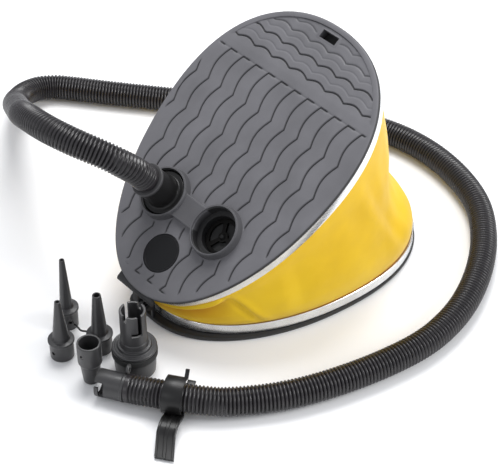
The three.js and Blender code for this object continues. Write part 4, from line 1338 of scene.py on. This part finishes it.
def make_nozzle(name, node_name, body, x, y, facing, *,
                cup, cup_height, cone, tip, tip_bore, height):
    """Cup with a flange and a hollow cone on it. cup, cone, tip and tip_bore are radii."""
    wall = 1.7
    flange = cup + 1.1
    nozzle = lathe(name, [
        (cup - wall, 0), (cup - 0.2, 0), (cup, cup_height * 0.5), (cup - 0.2, cup_height - 3.2),
        (flange, cup_height - 2.4), (flange, cup_height), (cone + 0.6, cup_height + 0.5),
        (cone, cup_height + 1.5), (tip, height - 1), (tip - 0.2, height), (tip_bore, height),
        (cone - wall, cup_height), (cone - wall, cup_height - 2), (cup - wall, cup_height - 2.6),
    ], ring=True, place=moved_to(x, y), radius=0.6)
    join(nozzle, [peg_hole(x, y, cup_height * 0.45, facing)], "DIFFERENCE")
    finish_piece(nozzle, NOZZLE_PLASTIC, body, "nozzle_grey", node_name)


make_nozzle("needle_tip_nozzle", "needle_nozzle", "tethered_nozzles", -46.5, -211.6, -20,
            cup=10.2, cup_height=22, cone=6.0, tip=2.5, tip_bore=1.4, height=79)
make_nozzle("small_cone_tip", "small_cone_nozzle", "small_cone_nozzle", -17.7, -238.8, -80,
            cup=11, cup_height=20, cone=7.6, tip=2.8, tip_bore=1.6, height=65)
make_nozzle("large_cone_tip", "large_cone_nozzle", "tethered_nozzles", -1.1, -208.1, 60,
            cup=11, cup_height=20, cone=7.4, tip=4.0, tip_bore=2.8, height=66)


def make_strap():
    """The strap between two of the nozzles, from points in metres."""
    line, _ = hose_line([
        (-0.0355, -0.2115, 0.007), (-0.031, -0.2125, 0.0092), (-0.025, -0.2125, 0.008),
        (-0.019, -0.211, 0.010), (-0.0129, -0.209, 0.013),
    ], 10)
    strap = tube("tether_strap", line / MM, 0.9, 12)
    finish_piece(strap, CONNECTOR_PLASTIC, "tethered_nozzles", "connector_black", "nozzle_strap")


def make_reducer():
    """Stepped tube with a flared upper half."""
    x, y = 24.5, -237.6
    reducer = lathe("step_reducer", [
        (6.2, 0), (7.2, 0), (9.3, 21), (10.9, 23.4), (10.9, 44.4), (10.5, 45.5), (8.8, 45.5),
        (8.4, 24), (7.2, 20),
    ], ring=True, place=moved_to(x, y), radius=0.6)
    join(reducer, [peg_hole(x, y, 35.5, -75, 1.9)], "DIFFERENCE")
    finish_piece(reducer, NOZZLE_PLASTIC, "reducer_adapter", "nozzle_grey", "reducer_adapter")


ADAPTER_X = 38.7
ADAPTER_Y = -198.9
ADAPTER_NECK = 14
FLANGE_LOW = 25.2
ADAPTER_TUBE = 11.8
ADAPTER_HEIGHT = 70.5


def make_valve_adapter():
    """Cup, ridged flange and a tube slotted into fingers, with a loose gasket under the flange."""
    adapter = lathe("valve_cup_adapter", [
        (17, 0), (18.2, 0), (18.7, 6), (19, 17), (18.4, 17.8), (ADAPTER_NECK, 17.8),
        (ADAPTER_NECK, FLANGE_LOW), (19.4, FLANGE_LOW), (20.2, 26), (20.2, 27.8), (19.2, 28.6),
        (18, 28.2), (17.2, 28.8), (16.2, 28.4), (15.4, 28.8), (15, 31), (12.8, 31), (12.4, 36),
        (ADAPTER_TUBE, 36.5), (ADAPTER_TUBE, ADAPTER_HEIGHT), (9.6, ADAPTER_HEIGHT), (9.6, 15.8),
        (17, 15.8),
    ], ring=True, place=moved_to(ADAPTER_X, ADAPTER_Y), steps=80, radius=0.4)
    cuts = []
    for turn, low in ((-6, 47.4), (-76, 64.5)):
        cuts.append(prism("finger_slot", rectangle(-16, 16, -2, 2), low, ADAPTER_HEIGHT + 1,
                          place=moved_to(ADAPTER_X, ADAPTER_Y, turn=turn)))
    hook = round_sector("finger_hook", 96, 136, 47.4, 51.9, 8, 14)
    put(hook, Matrix.Translation((ADAPTER_X, ADAPTER_Y, 0)))
    join(adapter, [*cuts, hook], "DIFFERENCE")
    finish_piece(adapter, NOZZLE_PLASTIC, "valve_adapter", "nozzle_grey", "valve_adapter")
    low, high, inner = 18.2, FLANGE_LOW - 0.4, ADAPTER_NECK + GAP
    gasket = lathe("loose_gasket", [
        (inner, low), (20, low), (20.6, low + 0.8), (20.6, high - 0.8), (20, high), (inner, high),
    ], ring=True, place=moved_to(ADAPTER_X, ADAPTER_Y), steps=80, radius=0.5)
    finish_piece(gasket, FLAP_RUBBER, "valve_adapter", "flap_rubber", "adapter_gasket")


make_strap()
make_reducer()
make_valve_adapter()


# ------------------------------------------------------------------ carried-over nodes, cord, floor

CARRIED = {
    "hinge_pin": BLACK_STEEL, "pin_clip_left": BLACK_STEEL, "pin_clip_right": BLACK_STEEL,
    "foot_left_rear": FOOT_RUBBER, "foot_right_rear": FOOT_RUBBER,
    "foot_left_front": FOOT_RUBBER, "foot_right_front": FOOT_RUBBER,
    "intake_flap": FLAP_RUBBER, "outlet_flap": FLAP_RUBBER,
    "intake_pin": CONNECTOR_PLASTIC, "outlet_pin": CONNECTOR_PLASTIC,
}
for name, surface in CARRIED.items():
    carried = frame["nodes"][name]
    carried.data.materials.clear()
    carried.data.materials.append(surface)

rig.cord(HOSE, exit=HOSE_ROUTE[0], length=round(HOSE_LENGTH, 3), diameter=2 * HOSE_RADIUS * MM,
        far_end="connector", stiffness="medium", lay="loose",
        path=[tuple(p) for p in HOSE_LINE[::24]] + [tuple(HOSE_LINE[-1])], with_pieces=[SLEEVE, CLIP])


def make_floor():
    """Plain floor, in metres, a hair below the pieces that stand on it."""
    mesh = bpy.data.meshes.new("floor")
    mesh.from_pydata([(x, y, 0) for x, y in rectangle(-6, 6, -6, 6)], [], [(0, 1, 2, 3)])
    floor = add_object("floor", mesh)
    floor.location.z = -0.0002
    material, shader = new_material("floor_paint", {"Roughness": 0.6})
    stops = [(0.3, (0.9, 0.9, 0.9)), (0.7, (0.93, 0.93, 0.93))]
    tone = ramp(material, place_noise(material, 3), stops)
    material.node_tree.links.new(tone, shader.inputs["Base Color"])
    mesh.materials.append(material)
    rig.stage(floor)


make_floor()

bpy.context.view_layer.update()
visual_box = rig.bounds()
with open("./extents.json", "w") as out:
    json.dump({"cad": [list(p) for p in cad_box], "visual": [list(p) for p in visual_box]}, out)
